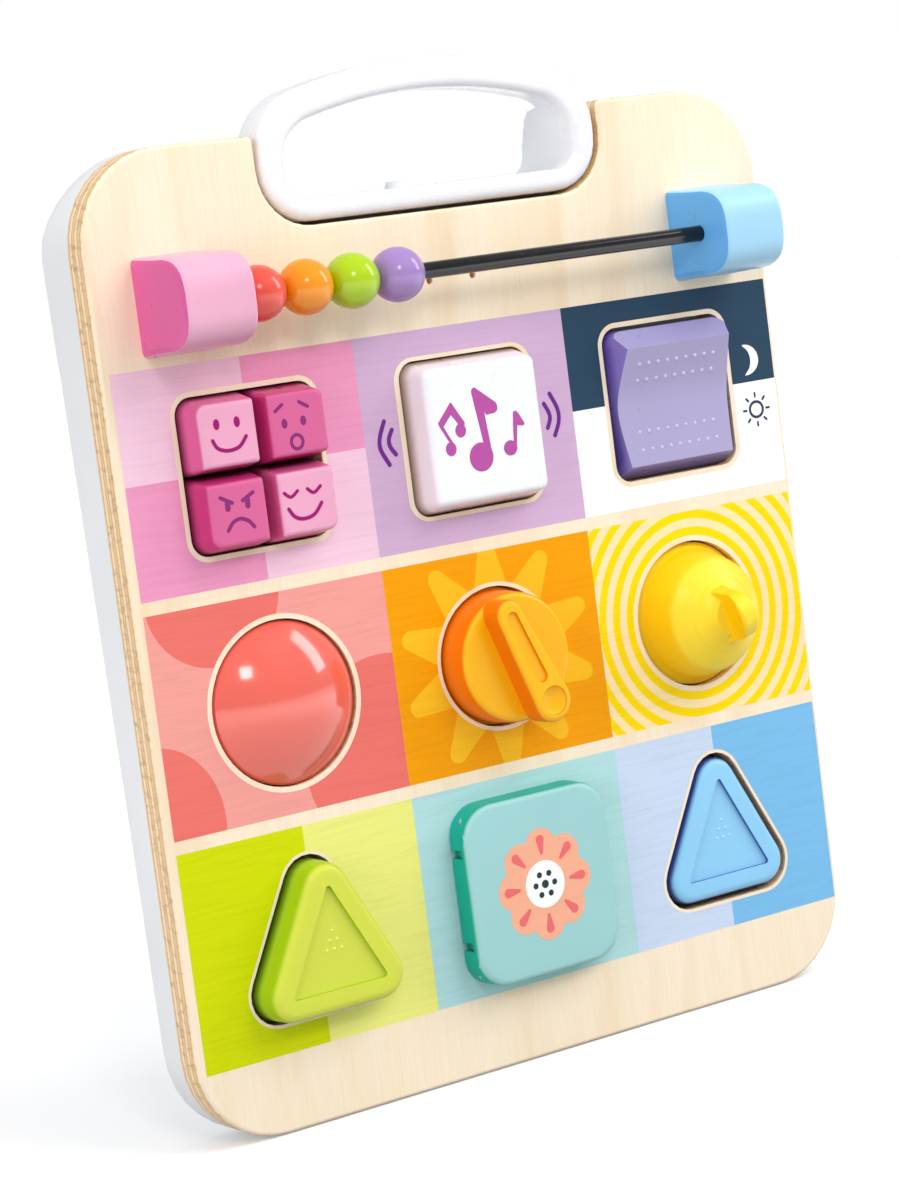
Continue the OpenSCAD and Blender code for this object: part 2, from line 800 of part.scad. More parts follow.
// Rubber cone that pushes a key back from the circuit board
module rubber_return(x, y) {
    h = return_top_z - circuit_z;
    color("dimgray")
        at(x, y, circuit_z)
            rotate_extrude()
                polygon([[0, h - 1.2], [2, h - 1.2], [4.2, 0.8], [4.2, 0], [6, 0], [6, 0.8], [5.2, 0.8],
                    [3, h], [0, h]]);
}

// ---------- bead rail ----------

// Section of a bracket: upright sides under a full, rounded top, base along y = 0
bracket_section = let (half = bracket_h / 2, shoulder = 12, full = 0.66)
    concat(
        [[-half, 0], [half, 0]],
        [for (a = [0:12:180])
            [(half - 0.8) * sign(cos(a)) * pow(abs(cos(a)), full),
                shoulder + (bracket_rise - shoulder) * pow(sin(a), full)]]);
// Section smaller by d, with its base still on the board
function bracket_ring(d) = [for (q = inset(bracket_section, d)) [q.x, q.y < d + 0.01 ? 0 : q.y]];

module bracket(side) {
    fade = 1.8;
    socket = bracket_l - 7;
    color(side < 0 ? "hotpink" : "lightskyblue")
        difference() {
            at(bracket_x[side < 0 ? 0 : 1] - bracket_l / 2, rail_y)
                rotate([90, 0, 90])
                    skin([for (s = [[0, fade], [fade * 0.3, fade * 0.3], [fade, 0],
                            [bracket_l - fade, 0], [bracket_l - fade * 0.3, fade * 0.3], [bracket_l, fade]])
                        at_z(bracket_ring(s[1]), s[0])]);
            at(grid_shift + side * rail_span / 2, rail_y, rod_height)
                rotate([0, side * 90, 0])
                    rod(rod_d / 2 + screw_play, -cut, socket);
            for (y = bracket_screw_y)
                at(bracket_x[side < 0 ? 0 : 1], y)
                    rod(bracket_screw_r + screw_play, -cut, bracket_screw_depth + play);
        }
}

module bracket_screws() {
    color("silver")
        for (x = bracket_x)
            for (y = bracket_screw_y)
                at(x, y, -board_t + bracket_head_h)
                    screw(bracket_screw_r, board_t - bracket_head_h + bracket_screw_depth, bracket_head_r,
                        bracket_head_h);
}

module rail_rod() {
    reach = rail_span / 2 + bracket_l - 7.5;
    color("black")
        at(grid_shift, rail_y, rod_height)
            rotate([0, 90, 0])
                rod(rod_d / 2, -reach, reach);
}

module bead(k, tone) {
    color(tone)
        at(first_bead_x + k * bead_pitch, rail_y, rod_height)
            rotate([0, 90, 0])
                difference() {
                    sphere(d = bead_d, $fn = 64);
                    rod(bead_bore_r, -bead_d, bead_d);
                }
}

// ---------- keys ----------

// Levels of a key: straight skirt through the plywood, leaning sides and a rounded face edge
function key_levels(rise, lean, r) = concat(
    [[flange_z, 0], [-1, 0]],
    [for (a = [0:22.5:90]) [rise - r * (1 - sin(a)), lean + r * (1 - cos(a))]]);

// Outline of a key, smaller all round by d
function key_ring(w, h, radii, d) = round_rect4(w - 2 * d, h - 2 * d, [for (r = radii) max(r - d, 1)]);

// Hollow key cap with a stem down to its return
module key_cap(w, h, radii, lean, r) {
    roof = key_rise - key_wall;
    difference() {
        skin([for (s = key_levels(key_rise, lean, r)) at_z(key_ring(w, h, radii, s[1]), s[0])]);
        prism(key_ring(w, h, radii, key_wall + lean / 2), flange_z - cut, roof);
    }
    rod(3, return_top_z, roof + cut);
}

emotion_w = (emotion_hole_w - 2 * key_gap - key_split) / 2;
emotion_h = (emotion_hole_h - 2 * key_gap - key_split) / 2;

// Emotion key in quadrant sx, sy of its hole
module emotion_key(sx, sy, tone) {
    big = hole_corner_r - key_gap;
    small = 2.4;
    corners = [[1, 1], [-1, 1], [-1, -1], [1, -1]];
    radii = [for (q = corners) q == [sx, sy] ? big : small];
    reach = flange_reach + key_gap;
    grip = 2;
    color(tone)
        at(emotion_x(sx), emotion_y(sy)) {
            key_cap(emotion_w, emotion_h, radii, 1.8, 1.6);
            at(sx * (emotion_w / 2 + (reach - grip) / 2), 0, flange_z + flange_t / 2)
                cube([reach + grip, emotion_h - 2 * big, flange_t], center = true);
            at(0, sy * (emotion_h / 2 + (reach - grip) / 2), flange_z + flange_t / 2)
                cube([emotion_w - 2 * big, reach + grip, flange_t], center = true);
        }
}

function emotion_x(sx) = column_x(-1) + sx * (emotion_w + key_split) / 2;
function emotion_y(sy) = row_y(0) + sy * (emotion_h + key_split) / 2;

module music_key() {
    side = music_hole - 2 * key_gap;
    outline = round_rect(side, side, hole_corner_r - key_gap);
    color("white")
        at(column_x(0), row_y(0)) {
            key_cap(side, side, [for (k = [1:4]) hole_corner_r - key_gap], 2.2, 2.2);
            difference() {
                prism(inset(outline, -key_gap - flange_reach), flange_z, flange_z + flange_t);
                prism(inset(outline, 1), flange_z - cut, flange_z + flange_t + cut);
            }
        }
}

module dome_button() {
    r = dome_hole_r - key_gap;
    rim_z = -1;
    cap_r = (r * r + pow(dome_rise - rim_z, 2)) / (2 * (dome_rise - rim_z));
    wall = 2.2;
    color("tomato")
        at(column_x(-1), row_y(1)) {
            difference() {
                intersection() {
                    rod(r, flange_z, dome_rise + 1);
                    union() {
                        at(0, 0, dome_rise - cap_r)
                            sphere(r = cap_r, $fn = 96);
                        rod(r + 1, flange_z - 1, rim_z - 0.01);
                    }
                }
                intersection() {
                    rod(r - wall, flange_z - cut, dome_rise);
                    at(0, 0, dome_rise - cap_r)
                        sphere(r = cap_r - wall, $fn = 96);
                }
            }
            difference() {
                rod(dome_hole_r + flange_reach, flange_z, flange_z + flange_t);
                rod(r - 1, flange_z - cut, flange_z + flange_t + cut);
            }
            rod(3, return_top_z, dome_rise - wall + 0.5);
        }
}

// ---------- rocker ----------

module day_night_rocker() {
    top = rocker_rise - rocker_axis_z;
    skirt = rocker_hole / 2 - key_gap - 0.2;
    flank = rocker_w / 2;
    floor_z = -1.8;
    steep = rocker_dip / (norm([rocker_half, rocker_soft]) - rocker_soft);
    half = [[skirt - 0.6, floor_z], [skirt, top - 6.8], [rocker_half, top]];
    valley = [for (k = [6:-1:-6]) let (y = k * rocker_half / 7)
        [y, top - rocker_dip + steep * (norm([y, rocker_soft]) - rocker_soft)]];
    color("mediumpurple")
        at(column_x(1), row_y(0), rocker_axis_z)
            rotate([rocker_tilt, 0, 0])
                difference() {
                    intersection() {
                        rotate([90, 0, 90])
                            prism(concat(half, valley, [for (i = [2:-1:0]) [-half[i].x, half[i].y]]),
                                -flank, flank);
                        rotate([90, 0, 0])
                            prism([[-flank, floor_z - 1], [flank, floor_z - 1], [flank, top - 8],
                                [flank - 3.6, top + 1], [-flank + 3.6, top + 1], [-flank, top - 8]],
                                -rocker_hole, rocker_hole);
                        prism(round_rect(2 * flank, 2 * skirt, hole_corner_r - key_gap),
                            floor_z - 1, top + 1);
                    }
                    translate([-flank + rocker_wall, -skirt + rocker_wall + 0.6, floor_z - cut])
                        cube([2 * (flank - rocker_wall), 2 * (skirt - rocker_wall - 0.6),
                            top - rocker_dip - 2.2 - floor_z + cut]);
                    for (s = [-1, 1])
                        translate([-flank + 3.5, s > 0 ? 11 : -19, floor_z])
                            cube([2 * flank - 7, 8, top - 4.4 - floor_z]);
                    rotate([0, 90, 0])
                        rod(rocker_pin_r + shaft_clearance, -rocker_hole, rocker_hole);
                }
}

module rocker_pin() {
    color("silver")
        at(column_x(1), row_y(0), rocker_axis_z)
            rotate([0, 90, 0])
                rod(rocker_pin_r, -rocker_w / 2 + 0.5, rocker_w / 2 - 0.5);
}

// ---------- dial and knob ----------

// Teardrop outline along x, from a small end to a large end
function teardrop(x0, r0, x1, r1) = let (b = acos((r0 - r1) / (x1 - x0)))
    concat(arc([x0, 0], r0, b, 360 - b, 10), arc([x1, 0], r1, -b, b, 12));

skirt_z = -board_t + play;

module orange_dial() {
    r = dial_hole_r - key_gap;
    tail = 15.4;
    tip = 15.5;
    color("orange")
        at(column_x(0), row_y(1)) {
            rotate_extrude($fn = 96)
                polygon(concat([[0, skirt_z], [r, skirt_z], [r, -3], [r - 0.7, -2.3], [r - 0.8, 1],
                    [r - 1.2, dial_rise - 2]], arc([r - 3.2, dial_rise - 2], 2, 15, 90, 5), [[0, dial_rise]]));
            rotate([0, 0, -67])
                difference() {
                    slab(teardrop(-tail, 4.8, tip, 6.8), dial_rise - 0.5, dial_rise + dial_grip_h, 0, 1.6);
                    at(tip, 0, dial_rise + dial_grip_h)
                        scale([1, 1, 0.35])
                            sphere(r = 4.6);
                    prism(teardrop(-tail + 1, 2, tip - 9, 2.02),
                        dial_rise + dial_grip_h - 0.9, dial_rise + dial_grip_h + cut);
                }
            rod(shaft_r, bearing_z - retainer_t - 1.2, skirt_z + cut);
        }
}

// Clip ring on a shaft, behind its bearing
module retainer(x) {
    color("silver")
        at(x, row_y(1), bearing_z - play - retainer_t)
            difference() {
                rod(shaft_r + 2, 0, retainer_t);
                rod(shaft_r, -cut, retainer_t + cut);
            }
}

module yellow_knob() {
    r = knob_hole_r - 0.6;
    color("gold")
        at(column_x(1), row_y(1)) {
            rotate_extrude($fn = 96)
                polygon([[0, skirt_z], [r, skirt_z], [r, -2.6], [r - 1, -1.8], [r - 1.9, -0.4],
                    [r - 2.5, 1.5], [r - 3.1, 4], [r - 3.9, 7], [r - 4.8, 9.6], [r - 5.5, 10.6],
                    [r - 5.9, 10.7], [r - 7.4, 12], [r - 9.2, 13.2], [r - 10.8, 14], [r - 11.2, 14.5],
                    [r - 11.7, 14.6], [r - 13.6, 15.6], [r - 15.4, 16.9], [r - 16.8, 18.5], [0, 18.5]]);
            rotate([0, 0, 15])
                paddle();
            rod(shaft_r, bearing_z - retainer_t - 1.2, skirt_z + cut);
        }
}

// Upright paddle on the knob, hollowed on both sides for the fingers
module paddle() {
    half_t = 3.2;
    waist = 1.9;
    scoop_r = 12;
    tip_r = 8;
    difference() {
        rotate([90, 0, 90])
            slab(concat([[-11, 11], [11, 11]], arc([0, knob_rise - tip_r], tip_r, -5, 185, 14)),
                -half_t, half_t, 1.2, 1.2);
        for (s = [-1, 1])
            at(s * (waist + scoop_r), 0, knob_rise - tip_r + 1)
                rotate([90, 0, 0])
                    rod(scoop_r, -20, 20);
    }
}

// ---------- seesaw triangles ----------

triangle_flange_z = -board_t - play - 1.2;

module triangle_cap(tone) {
    outline = triangle_outline(triangle_corner_r - triangle_gap);
    levels = concat([[triangle_flange_z, 0], [-2, 0]],
        [for (a = [0:18:90]) [triangle_rise - 3 * (1 - sin(a)), 0.5 + 3 * (1 - cos(a))]]);
    lever_top = lever_axis_z + triangle_travel / 2 + lever_half_t;
    color(tone)
        difference() {
            union() {
                difference() {
                    skin([for (s = levels) at_z(inset(outline, s[1]), s[0])]);
                    prism(inset(outline, 3), triangle_flange_z - cut, triangle_rise - 4);
                }
                difference() {
                    prism(triangle_outline(triangle_corner_r + flange_reach), triangle_flange_z,
                        triangle_flange_z + 1.2);
                    prism(inset(outline, 2), triangle_flange_z - cut, triangle_flange_z + 1.2 + cut);
                }
                rod(3.5, lever_top + 0.2, triangle_rise - 3);
            }
            prism(triangle_outline(max(triangle_corner_r - 8.6, 0.8)),
                triangle_rise - triangle_panel, triangle_rise + cut);
        }
}

// Way for the seesaw through the side of a cap, towards the middle column
module lever_slot(side) {
    translate([side < 0 ? 0 : -triangle_hole_w, -lever_w / 2 - 0.8, triangle_flange_z - cut])
        cube([triangle_hole_w, lever_w + 1.6, 5.6]);
}

module green_triangle() {
    at(column_x(-1), row_y(2))
        difference() {
            triangle_cap("yellowgreen");
            difference() {
                lever_slot(-1);
                rod(6, -50, 50);
            }
        }
}

module blue_triangle() {
    at(column_x(1), row_y(2), -triangle_travel)
        difference() {
            triangle_cap("deepskyblue");
            difference() {
                lever_slot(1);
                rod(6, -50, 50);
            }
        }
}

module seesaw_lever() {
    color("gainsboro")
        at(column_x(0), row_y(2), lever_axis_z)
            rotate([90, lever_tilt, 0])
                translate([0, 0, -lever_w / 2])
                    difference() {
                        union() {
                            cylinder(r = lever_pin_r + 1.8, h = lever_w);
                            translate([-column_pitch, -lever_half_t, 0])
                                cube([2 * column_pitch, 2 * lever_half_t, lever_w]);
                            for (s = [-1, 1])
                                at(s * column_pitch, 0)
                                    cylinder(r = lever_half_t, h = lever_w);
                        }
                        rod(lever_pin_r + shaft_clearance, -cut, lever_w + cut);
                    }
}

module lever_pin() {
    reach = lever_w / 2 + play + ear_t;
    color("silver")
        at(column_x(0), row_y(2), lever_axis_z)
            rotate([90, 0, 0])
                rod(lever_pin_r, -reach, reach);
}

// ---------- flap, hinge and mirror ----------

module hinge_lugs() {
    color("black")
        for (s = [-1, 1])
            at(hinge_x, flap_y + s * hinge_span / 2 + lug_t / 2)
                rotate([90, 0, 0])
                    difference() {
                        union() {
                            at(0, hinge_height)
                                rod(lug_head_r, 0, lug_t);
                            translate([-lug_back, -lug_depth, 0])
                                cube([lug_back + lug_head_r, lug_depth + hinge_height, lug_t]);
                            translate([-lug_back, -lug_depth, 0])
                                cube([lug_back + lug_front, lug_depth + hinge_height - 2, lug_t]);
                        }
                        at(0, hinge_height)
                            rod(hinge_pin_r + 0.04, -cut, lug_t + cut);
                    }
}

module hinge_pin() {
    reach = hinge_span / 2 + lug_t / 2 + knuckle_l;
    color("black")
        at(hinge_x, flap_y, hinge_height)
            rotate([90, 0, 0])
                rod(hinge_pin_r, -reach, reach);
}

module flap_lid() {
    foot = play;
    outline = round_rect(flap_w, flap_h, flap_corner_r, 8);
    slot_w = lug_t + 0.8;
    color("mediumturquoise")
        difference() {
            union() {
                at(grid_shift, flap_y)
                    difference() {
                        slab(outline, foot, flap_rise, 0, 1.8, 0.2);
                        prism(inset(outline, flap_wall), foot - cut, flap_rise - flap_wall);
                    }
                // Knuckles on both sides of each lug
                for (s = [-1, 1])
                    at(hinge_x, flap_y + s * hinge_span / 2, hinge_height)
                        translate([-hinge_inset + 0.5, -knuckle_l - slot_w / 2, -1.9])
                            cube([hinge_inset + 1.4, 2 * knuckle_l + slot_w,
                                flap_rise - hinge_height + 0.9]);
            }
            for (s = [-1, 1])
                at(hinge_x, flap_y + s * hinge_span / 2, hinge_height) {
                    translate([-5, -slot_w / 2, -hinge_height - cut])
                        cube([5 + lug_front + play, slot_w, hinge_height + cut + lug_head_r + play]);
                }
            at(hinge_x, flap_y, hinge_height)
                rotate([90, 0, 0])
                    rod(hinge_pin_r + shaft_clearance, -flap_h / 2 + 2, flap_h / 2 - 2);
            // Round lower edge beside the hinge, which clears the board as the flap swings
            at(hinge_x, flap_y, hinge_height)
                rotate([90, 0, 0])
                    difference() {
                        translate([-hinge_inset - 2, -hinge_height - 1, -flap_h])
                            cube([hinge_inset + 2, hinge_height + 1, 2 * flap_h]);
                        rod(hinge_height - 0.15, -flap_h - 1, flap_h + 1);
                    }
        }
}

module flap_mirror() {
    x0 = hinge_x + lug_front + 1;
    x1 = grid_shift + flap_w / 2 - flap_wall - 1.5;
    color("silver")
        at((x0 + x1) / 2, flap_y)
            prism(round_rect(x1 - x0, flap_h - 2 * flap_wall - 6, 4), 0, 1);
}

// ---------- assembly ----------

upright() wood_board();
upright() rear_shell();
upright() handle_front();
upright() inner_deck();
upright() circuit_board();
upright() speaker();
upright() dome_light();
upright() batteries();
upright() battery_contacts();
upright() battery_door();
upright() door_screw();
upright() case_screws();
upright() deck_screws();
upright() circuit_screws();
upright() bracket_screws();
upright() bracket(-1);  // pink_bracket
upright() bracket(1);  // blue_bracket
upright() rail_rod();
upright() rocker_pin();
upright() lever_pin();
upright() flap_mirror();
upright() hinge_lugs();
upright() hinge_pin();
upright() bead(0, "tomato");  // coral_bead
upright() bead(1, "orange");  // orange_bead
upright() bead(2, "yellowgreen");  // lime_bead
upright() bead(3, "mediumpurple");  // purple_bead
upright() emotion_key(-1, 1, "pink");  // smile_key
upright() emotion_key(1, 1, "hotpink");  // surprise_key
upright() emotion_key(-1, -1, "deeppink");  // cross_key
upright() emotion_key(1, -1, "pink");  // calm_key
upright() music_key();
upright() dome_button();
upright() rubber_return(emotion_x(-1), emotion_y(1));  // smile_return
upright() rubber_return(emotion_x(1), emotion_y(1));  // surprise_return
upright() rubber_return(emotion_x(-1), emotion_y(-1));  // cross_return
upright() rubber_return(emotion_x(1), emotion_y(-1));  // calm_return
upright() rubber_return(column_x(0), row_y(0));  // music_return
upright() rubber_return(column_x(-1), row_y(1));  // dome_return
upright() day_night_rocker();
upright() orange_dial();
upright() retainer(column_x(0));  // dial_retainer
upright() yellow_knob();
upright() retainer(column_x(1));  // knob_retainer
upright() green_triangle();
upright() blue_triangle();
upright() seesaw_lever();
upright() flap_lid();
upright() power_slider();
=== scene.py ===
"""Wooden busy board: materials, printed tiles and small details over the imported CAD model."""

import math

import bmesh
import bpy
from mathutils import Matrix, Vector, geometry


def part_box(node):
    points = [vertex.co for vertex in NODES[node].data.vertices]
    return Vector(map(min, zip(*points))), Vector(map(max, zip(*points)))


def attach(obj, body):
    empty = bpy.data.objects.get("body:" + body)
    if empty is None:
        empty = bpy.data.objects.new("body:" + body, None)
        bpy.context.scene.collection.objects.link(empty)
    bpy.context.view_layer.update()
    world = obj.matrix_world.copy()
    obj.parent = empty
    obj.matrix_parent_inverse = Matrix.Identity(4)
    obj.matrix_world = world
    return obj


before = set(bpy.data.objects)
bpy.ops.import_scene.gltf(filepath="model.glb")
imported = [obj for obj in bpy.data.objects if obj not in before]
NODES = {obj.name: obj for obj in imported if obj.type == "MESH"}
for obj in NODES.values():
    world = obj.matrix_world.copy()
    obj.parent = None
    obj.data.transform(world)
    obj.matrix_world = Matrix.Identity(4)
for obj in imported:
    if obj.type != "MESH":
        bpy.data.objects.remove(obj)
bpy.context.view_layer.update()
SCENE = bpy.context.scene
MM = 0.001

# ---------- places, in board millimetres: x right, y up, z out of the wooden face ----------


def middle(node):
    """Middle of a CAD node's box at rest, across and up."""
    low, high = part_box(node)
    return round((low.x + high.x) / 2 / MM, 3), round((low.z + high.z) / 2 / MM, 3)


def reach(node):
    """How far a CAD node reaches at rest in front of the middle of the plywood."""
    return round(-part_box(node)[0].y / MM, 3)


BOARD_HALF_T = reach("wood_board")
KEY_RISE = reach("music_key") - BOARD_HALF_T
FLAP_RISE = reach("flap_lid") - BOARD_HALF_T
COLUMN = (middle("dome_button")[0], middle("music_key")[0], middle("yellow_knob")[0])
ROW = (middle("music_key")[1], middle("dome_button")[1], middle("seesaw_lever")[1])

# Edges of the tiles' paint: x from left to right, and the lowest and highest y of each row
TILE_X = (-121.0, -38.3, 39.7, 122.4)
TILE_Y = ((163.9, 230.0), (93.7, 159.85), (23.6, 89.7))
LIFT = 0.03

# Openings in the paint, which leave a rim of bare wood round those in the plywood: width, height
# and corner radius, or radius. A triangle's corners are centred TRIANGLE_HALF away from its middle.
EMOTION_GAP = (51.2, 50.0, 7.1)
MUSIC_GAP = (51.3, 50.2, 7.2)
ROCKER_GAP = (52.2, 52.2, 7.2)
DOME_GAP_R = 26.6
DIAL_GAP_R = 23.1
KNOB_GAP_R = 25.2
TRIANGLE_GAP_R = 10.5
TRIANGLE_HALF = (15.5, 14.7)

# Height of the painted shade on a key's sides, darkest where they meet the board
FOOT_SHADE_HEIGHT = 3.8


def place(x, y, z):
    """Board millimetres to the model's frame in metres."""
    return Vector((x, -z - BOARD_HALF_T, y)) * MM


# ---------- colours and materials ----------


def linear(r, g, b):
    """Linear colour of an 8-bit sRGB colour."""
    out = []
    for v in (r, g, b):
        v /= 255
        out.append(v / 12.92 if v <= 0.04045 else ((v + 0.055) / 1.055) ** 2.4)
    return (*out, 1.0)


def tinted(colour, factor):
    """A linear colour made lighter or darker by a factor."""
    return tuple(min(1, v * factor) for v in colour[:3]) + (1,)


class Surface:
    """A new material, with short calls that build its node tree."""

    def __init__(self, name):
        self.material = bpy.data.materials.new(name)
        self.material.use_nodes = True
        self.tree = self.material.node_tree
        self.shader = self.tree.nodes["Principled BSDF"]
        self.coords = self.tree.nodes.new("ShaderNodeTexCoord")

    def link(self, start, end):
        self.tree.links.new(start, end)

    def node(self, kind, **values):
        node = self.tree.nodes.new(kind)
        for key, value in values.items():
            setattr(node, key, value)
        return node

    def feed(self, socket, value):
        """Sets a socket to a number or a colour, or links another socket to it."""
        if isinstance(value, (int, float, tuple)):
            socket.default_value = value
        else:
            self.link(value, socket)

    def noise(self, scale, detail=3.0, rough=0.55, stretch=(1, 1, 1), distortion=0.0):
        """Noise in object coordinates, which stretch makes finer along an axis."""
        mapping = self.node("ShaderNodeMapping")
        mapping.inputs["Scale"].default_value = stretch
        self.link(self.coords.outputs["Object"], mapping.inputs["Vector"])
        node = self.node("ShaderNodeTexNoise")
        node.inputs["Scale"].default_value = scale
        node.inputs["Detail"].default_value = detail
        node.inputs["Roughness"].default_value = rough
        node.inputs["Distortion"].default_value = distortion
        self.link(mapping.outputs["Vector"], node.inputs["Vector"])
        return node.outputs["Fac"]

    def ramp(self, factor, stops):
        """Colour ramp through stops of a position and a colour."""
        node = self.node("ShaderNodeValToRGB")
        elements = node.color_ramp.elements
        while len(elements) < len(stops):
            elements.new(0.5)
        for element, (at, colour) in zip(elements, stops):
            element.position, element.color = at, colour
        self.link(factor, node.inputs["Fac"])
        return node.outputs["Color"]

    def remap(self, value, low, high, to_low, to_high, smooth=False):
        """Carries the range from low to high over to another one."""
        node = self.node("ShaderNodeMapRange")
        if smooth:
            node.interpolation_type = "SMOOTHSTEP"
        node.inputs["From Min"].default_value = low
        node.inputs["From Max"].default_value = high
        node.inputs["To Min"].default_value = to_low
        node.inputs["To Max"].default_value = to_high
        self.link(value, node.inputs["Value"])
        return node.outputs["Result"]

    def mix(self, factor, first, second):
        """Colour between two colours."""
        node = self.node("ShaderNodeMix", data_type="RGBA")
        colour_a, colour_b, colour_out = node.inputs[6], node.inputs[7], node.outputs[2]
        self.feed(node.inputs["Factor"], factor)
        self.feed(colour_a, first)
        self.feed(colour_b, second)
        return colour_out

    def maths(self, operation, *values):
        node = self.node("ShaderNodeMath", operation=operation)
        for socket, value in zip(node.inputs, values):
            self.feed(socket, value)
        return node.outputs[0]

    def axis(self, source, name):
        """One axis of the object coordinates or of the normal."""
        node = self.node("ShaderNodeSeparateXYZ")
        self.link(self.coords.outputs[source], node.inputs[0])
        return node.outputs[name]

    def facing(self, name):
        """How squarely the surface faces along an axis, either way."""
        return self.maths("ABSOLUTE", self.axis("Normal", name))

    def bump(self, height, strength, distance):
        node = self.node("ShaderNodeBump")
        node.inputs["Strength"].default_value = strength
        node.inputs["Distance"].default_value = distance
        self.link(height, node.inputs["Height"])
        self.link(node.outputs["Normal"], self.shader.inputs["Normal"])

    def colour(self, socket):
        self.link(socket, self.shader.inputs["Base Color"])

    def roughness(self, noise, smoothest, roughest):
        """Roughness that follows a noise."""
        self.link(self.remap(noise, 0.3, 0.7, smoothest, roughest), self.shader.inputs["Roughness"])

    def finish(self, **values):
        """Sets plain values of the shader and hands the material over."""
        for key, value in values.items():
            self.shader.inputs[key.replace("_", " ")].default_value = value
        return self.material


def plastic(name, face, side=None, foot=None, ends=False, rough=0.32, grain=0.25, **values):
    """Moulded plastic: a fine grain, a slight drift of colour, painted shade on the faces that turn away
    from the front, or only on its left and right ends, and a darker painted shade where the sides meet
    the board."""
    surface = Surface(name)
    base = linear(*face)
    drift = surface.noise(26, detail=2)
    colour = surface.ramp(drift, [(0.3, tinted(base, 0.97)), (0.7, tinted(base, 1.02))])
    # Painted shade: the side colour darkens the faces that turn away from the front, or only the left and
    # right ends, in place of shade from the lamps
    if side:
        if ends:
            painted_shade_mask = surface.remap(surface.facing("X"), 0.45, 0.95, 0, 1, smooth=True)
        else:
            painted_shade_mask = surface.remap(surface.facing("Y"), 0.25, 0.85, 1, 0, smooth=True)
        shade = linear(*side)
        # Painted shade: the side colour darkens towards the board, where the sides sit in the shade of
        # the hole
        if foot:
            wood, top = -MM * BOARD_HALF_T, -MM * (BOARD_HALF_T + FOOT_SHADE_HEIGHT)
            near = surface.remap(surface.axis("Object", "Y"), top, wood, 0, 0.8, smooth=True)
            shade = surface.mix(near, shade, linear(*foot))
        colour = surface.mix(painted_shade_mask, colour, shade)
    surface.colour(colour)
    surface.roughness(surface.noise(180), rough - 0.05, rough + 0.06)
    surface.bump(surface.noise(2600, detail=2, rough=0.6), grain, 0.02 * MM)
    values.setdefault("Specular_IOR_Level", 0.3)
    return surface.finish(**values)


def bead(name, colour):
    """Glossy lacquer of a bead."""
    return plastic(name, colour, rough=0.16, grain=0.05, Specular_IOR_Level=0.5)


def paint(name, colour, streak=0.035):
    """Silk-screened paint, with the wood's grain just showing through."""
    surface = Surface(name)
    base = linear(*colour)
    grain = surface.noise(26, detail=4, rough=0.6, stretch=(1.6, 1, 34), distortion=0.4)
    deep, pale = tinted(base, 1 - 1.6 * streak), tinted(base, 1 + streak)
    surface.colour(surface.ramp(grain, [(0.32, deep), (0.5, base), (0.75, pale)]))
    surface.roughness(surface.noise(90), 0.37, 0.49)
    surface.bump(surface.noise(60, detail=5, rough=0.65, stretch=(22, 1, 1.2)), 0.1, 0.06 * MM)
    return surface.finish(Specular_IOR_Level=0.12)


def ink(name, colour, streak=0.02):
    """Print on a tile or a key."""
    return paint(name, colour, streak)


def plywood():
    """Birch plywood: pale face veneer with upright grain, and banded plies along the edges."""
    surface = Surface("birch plywood")
    # Face: broad figure, fine upright fibres and short dark flecks
    figure = surface.noise(7, rough=0.5, stretch=(5, 1, 0.8), distortion=1.2)
    fibre = surface.noise(60, detail=4, rough=0.62, stretch=(26, 1, 0.9), distortion=0.3)
    fleck = surface.noise(240, detail=2, rough=0.5, stretch=(9, 1, 0.55))
    face = surface.ramp(figure, [
        (0.28, linear(243, 220, 186)), (0.46, linear(251, 234, 206)),
        (0.6, linear(252, 237, 212)), (0.78, linear(245, 224, 192))])
    face = surface.mix(surface.remap(fibre, 0.35, 0.7, 0.0, 0.34), face, linear(238, 212, 176))
    face = surface.mix(surface.remap(fleck, 0.68, 0.78, 0.0, 0.3), face, linear(205, 165, 120))
    # Edges: a ramp through the board's thickness, with thin glue lines between pale and mid plies
    depth = surface.maths("MULTIPLY", surface.axis("Object", "Y"), 1 / MM)
    depth = surface.maths("ADD", depth, BOARD_HALF_T)
    wobble = surface.maths("SUBTRACT", surface.noise(60, detail=2), 0.5)
    depth = surface.maths("ADD", depth, surface.maths("MULTIPLY", wobble, 0.5))
    depth = surface.maths("DIVIDE", depth, 2 * BOARD_HALF_T)
    pale, mid, glue = linear(252, 230, 194), linear(240, 202, 150), linear(214, 158, 102)
    edge = surface.ramp(depth, [
        (0.0, pale), (0.1, pale), (0.14, glue), (0.18, mid), (0.31, mid), (0.345, glue),
        (0.38, pale), (0.5, pale), (0.535, glue), (0.57, mid), (0.68, mid), (0.715, glue),
        (0.75, pale), (0.87, pale), (0.9, glue), (0.94, mid), (1.0, mid)])
    pore = surface.noise(500, rough=0.6, stretch=(1, 0.5, 1))
    edge = surface.mix(surface.remap(pore, 0.5, 0.72, 0.0, 0.5), edge, linear(150, 104, 66))
    front = surface.remap(surface.facing("Y"), 0.45, 0.75, 0, 1, smooth=True)
    surface.colour(surface.mix(front, edge, face))
    surface.roughness(fibre, 0.44, 0.56)
    surface.bump(fibre, 0.22, 0.08 * MM)
    return surface.finish(Specular_IOR_Level=0.35)


def steel():
    """Bright brushed steel."""
    surface = Surface("bright steel")
    brushed = surface.noise(300, rough=0.6, stretch=(1, 9, 1))
    surface.colour(surface.ramp(brushed, [(0.3, linear(174, 175, 178)), (0.7, linear(205, 206, 210))]))
    surface.roughness(brushed, 0.17, 0.35)
    return surface.finish(Metallic=1.0)


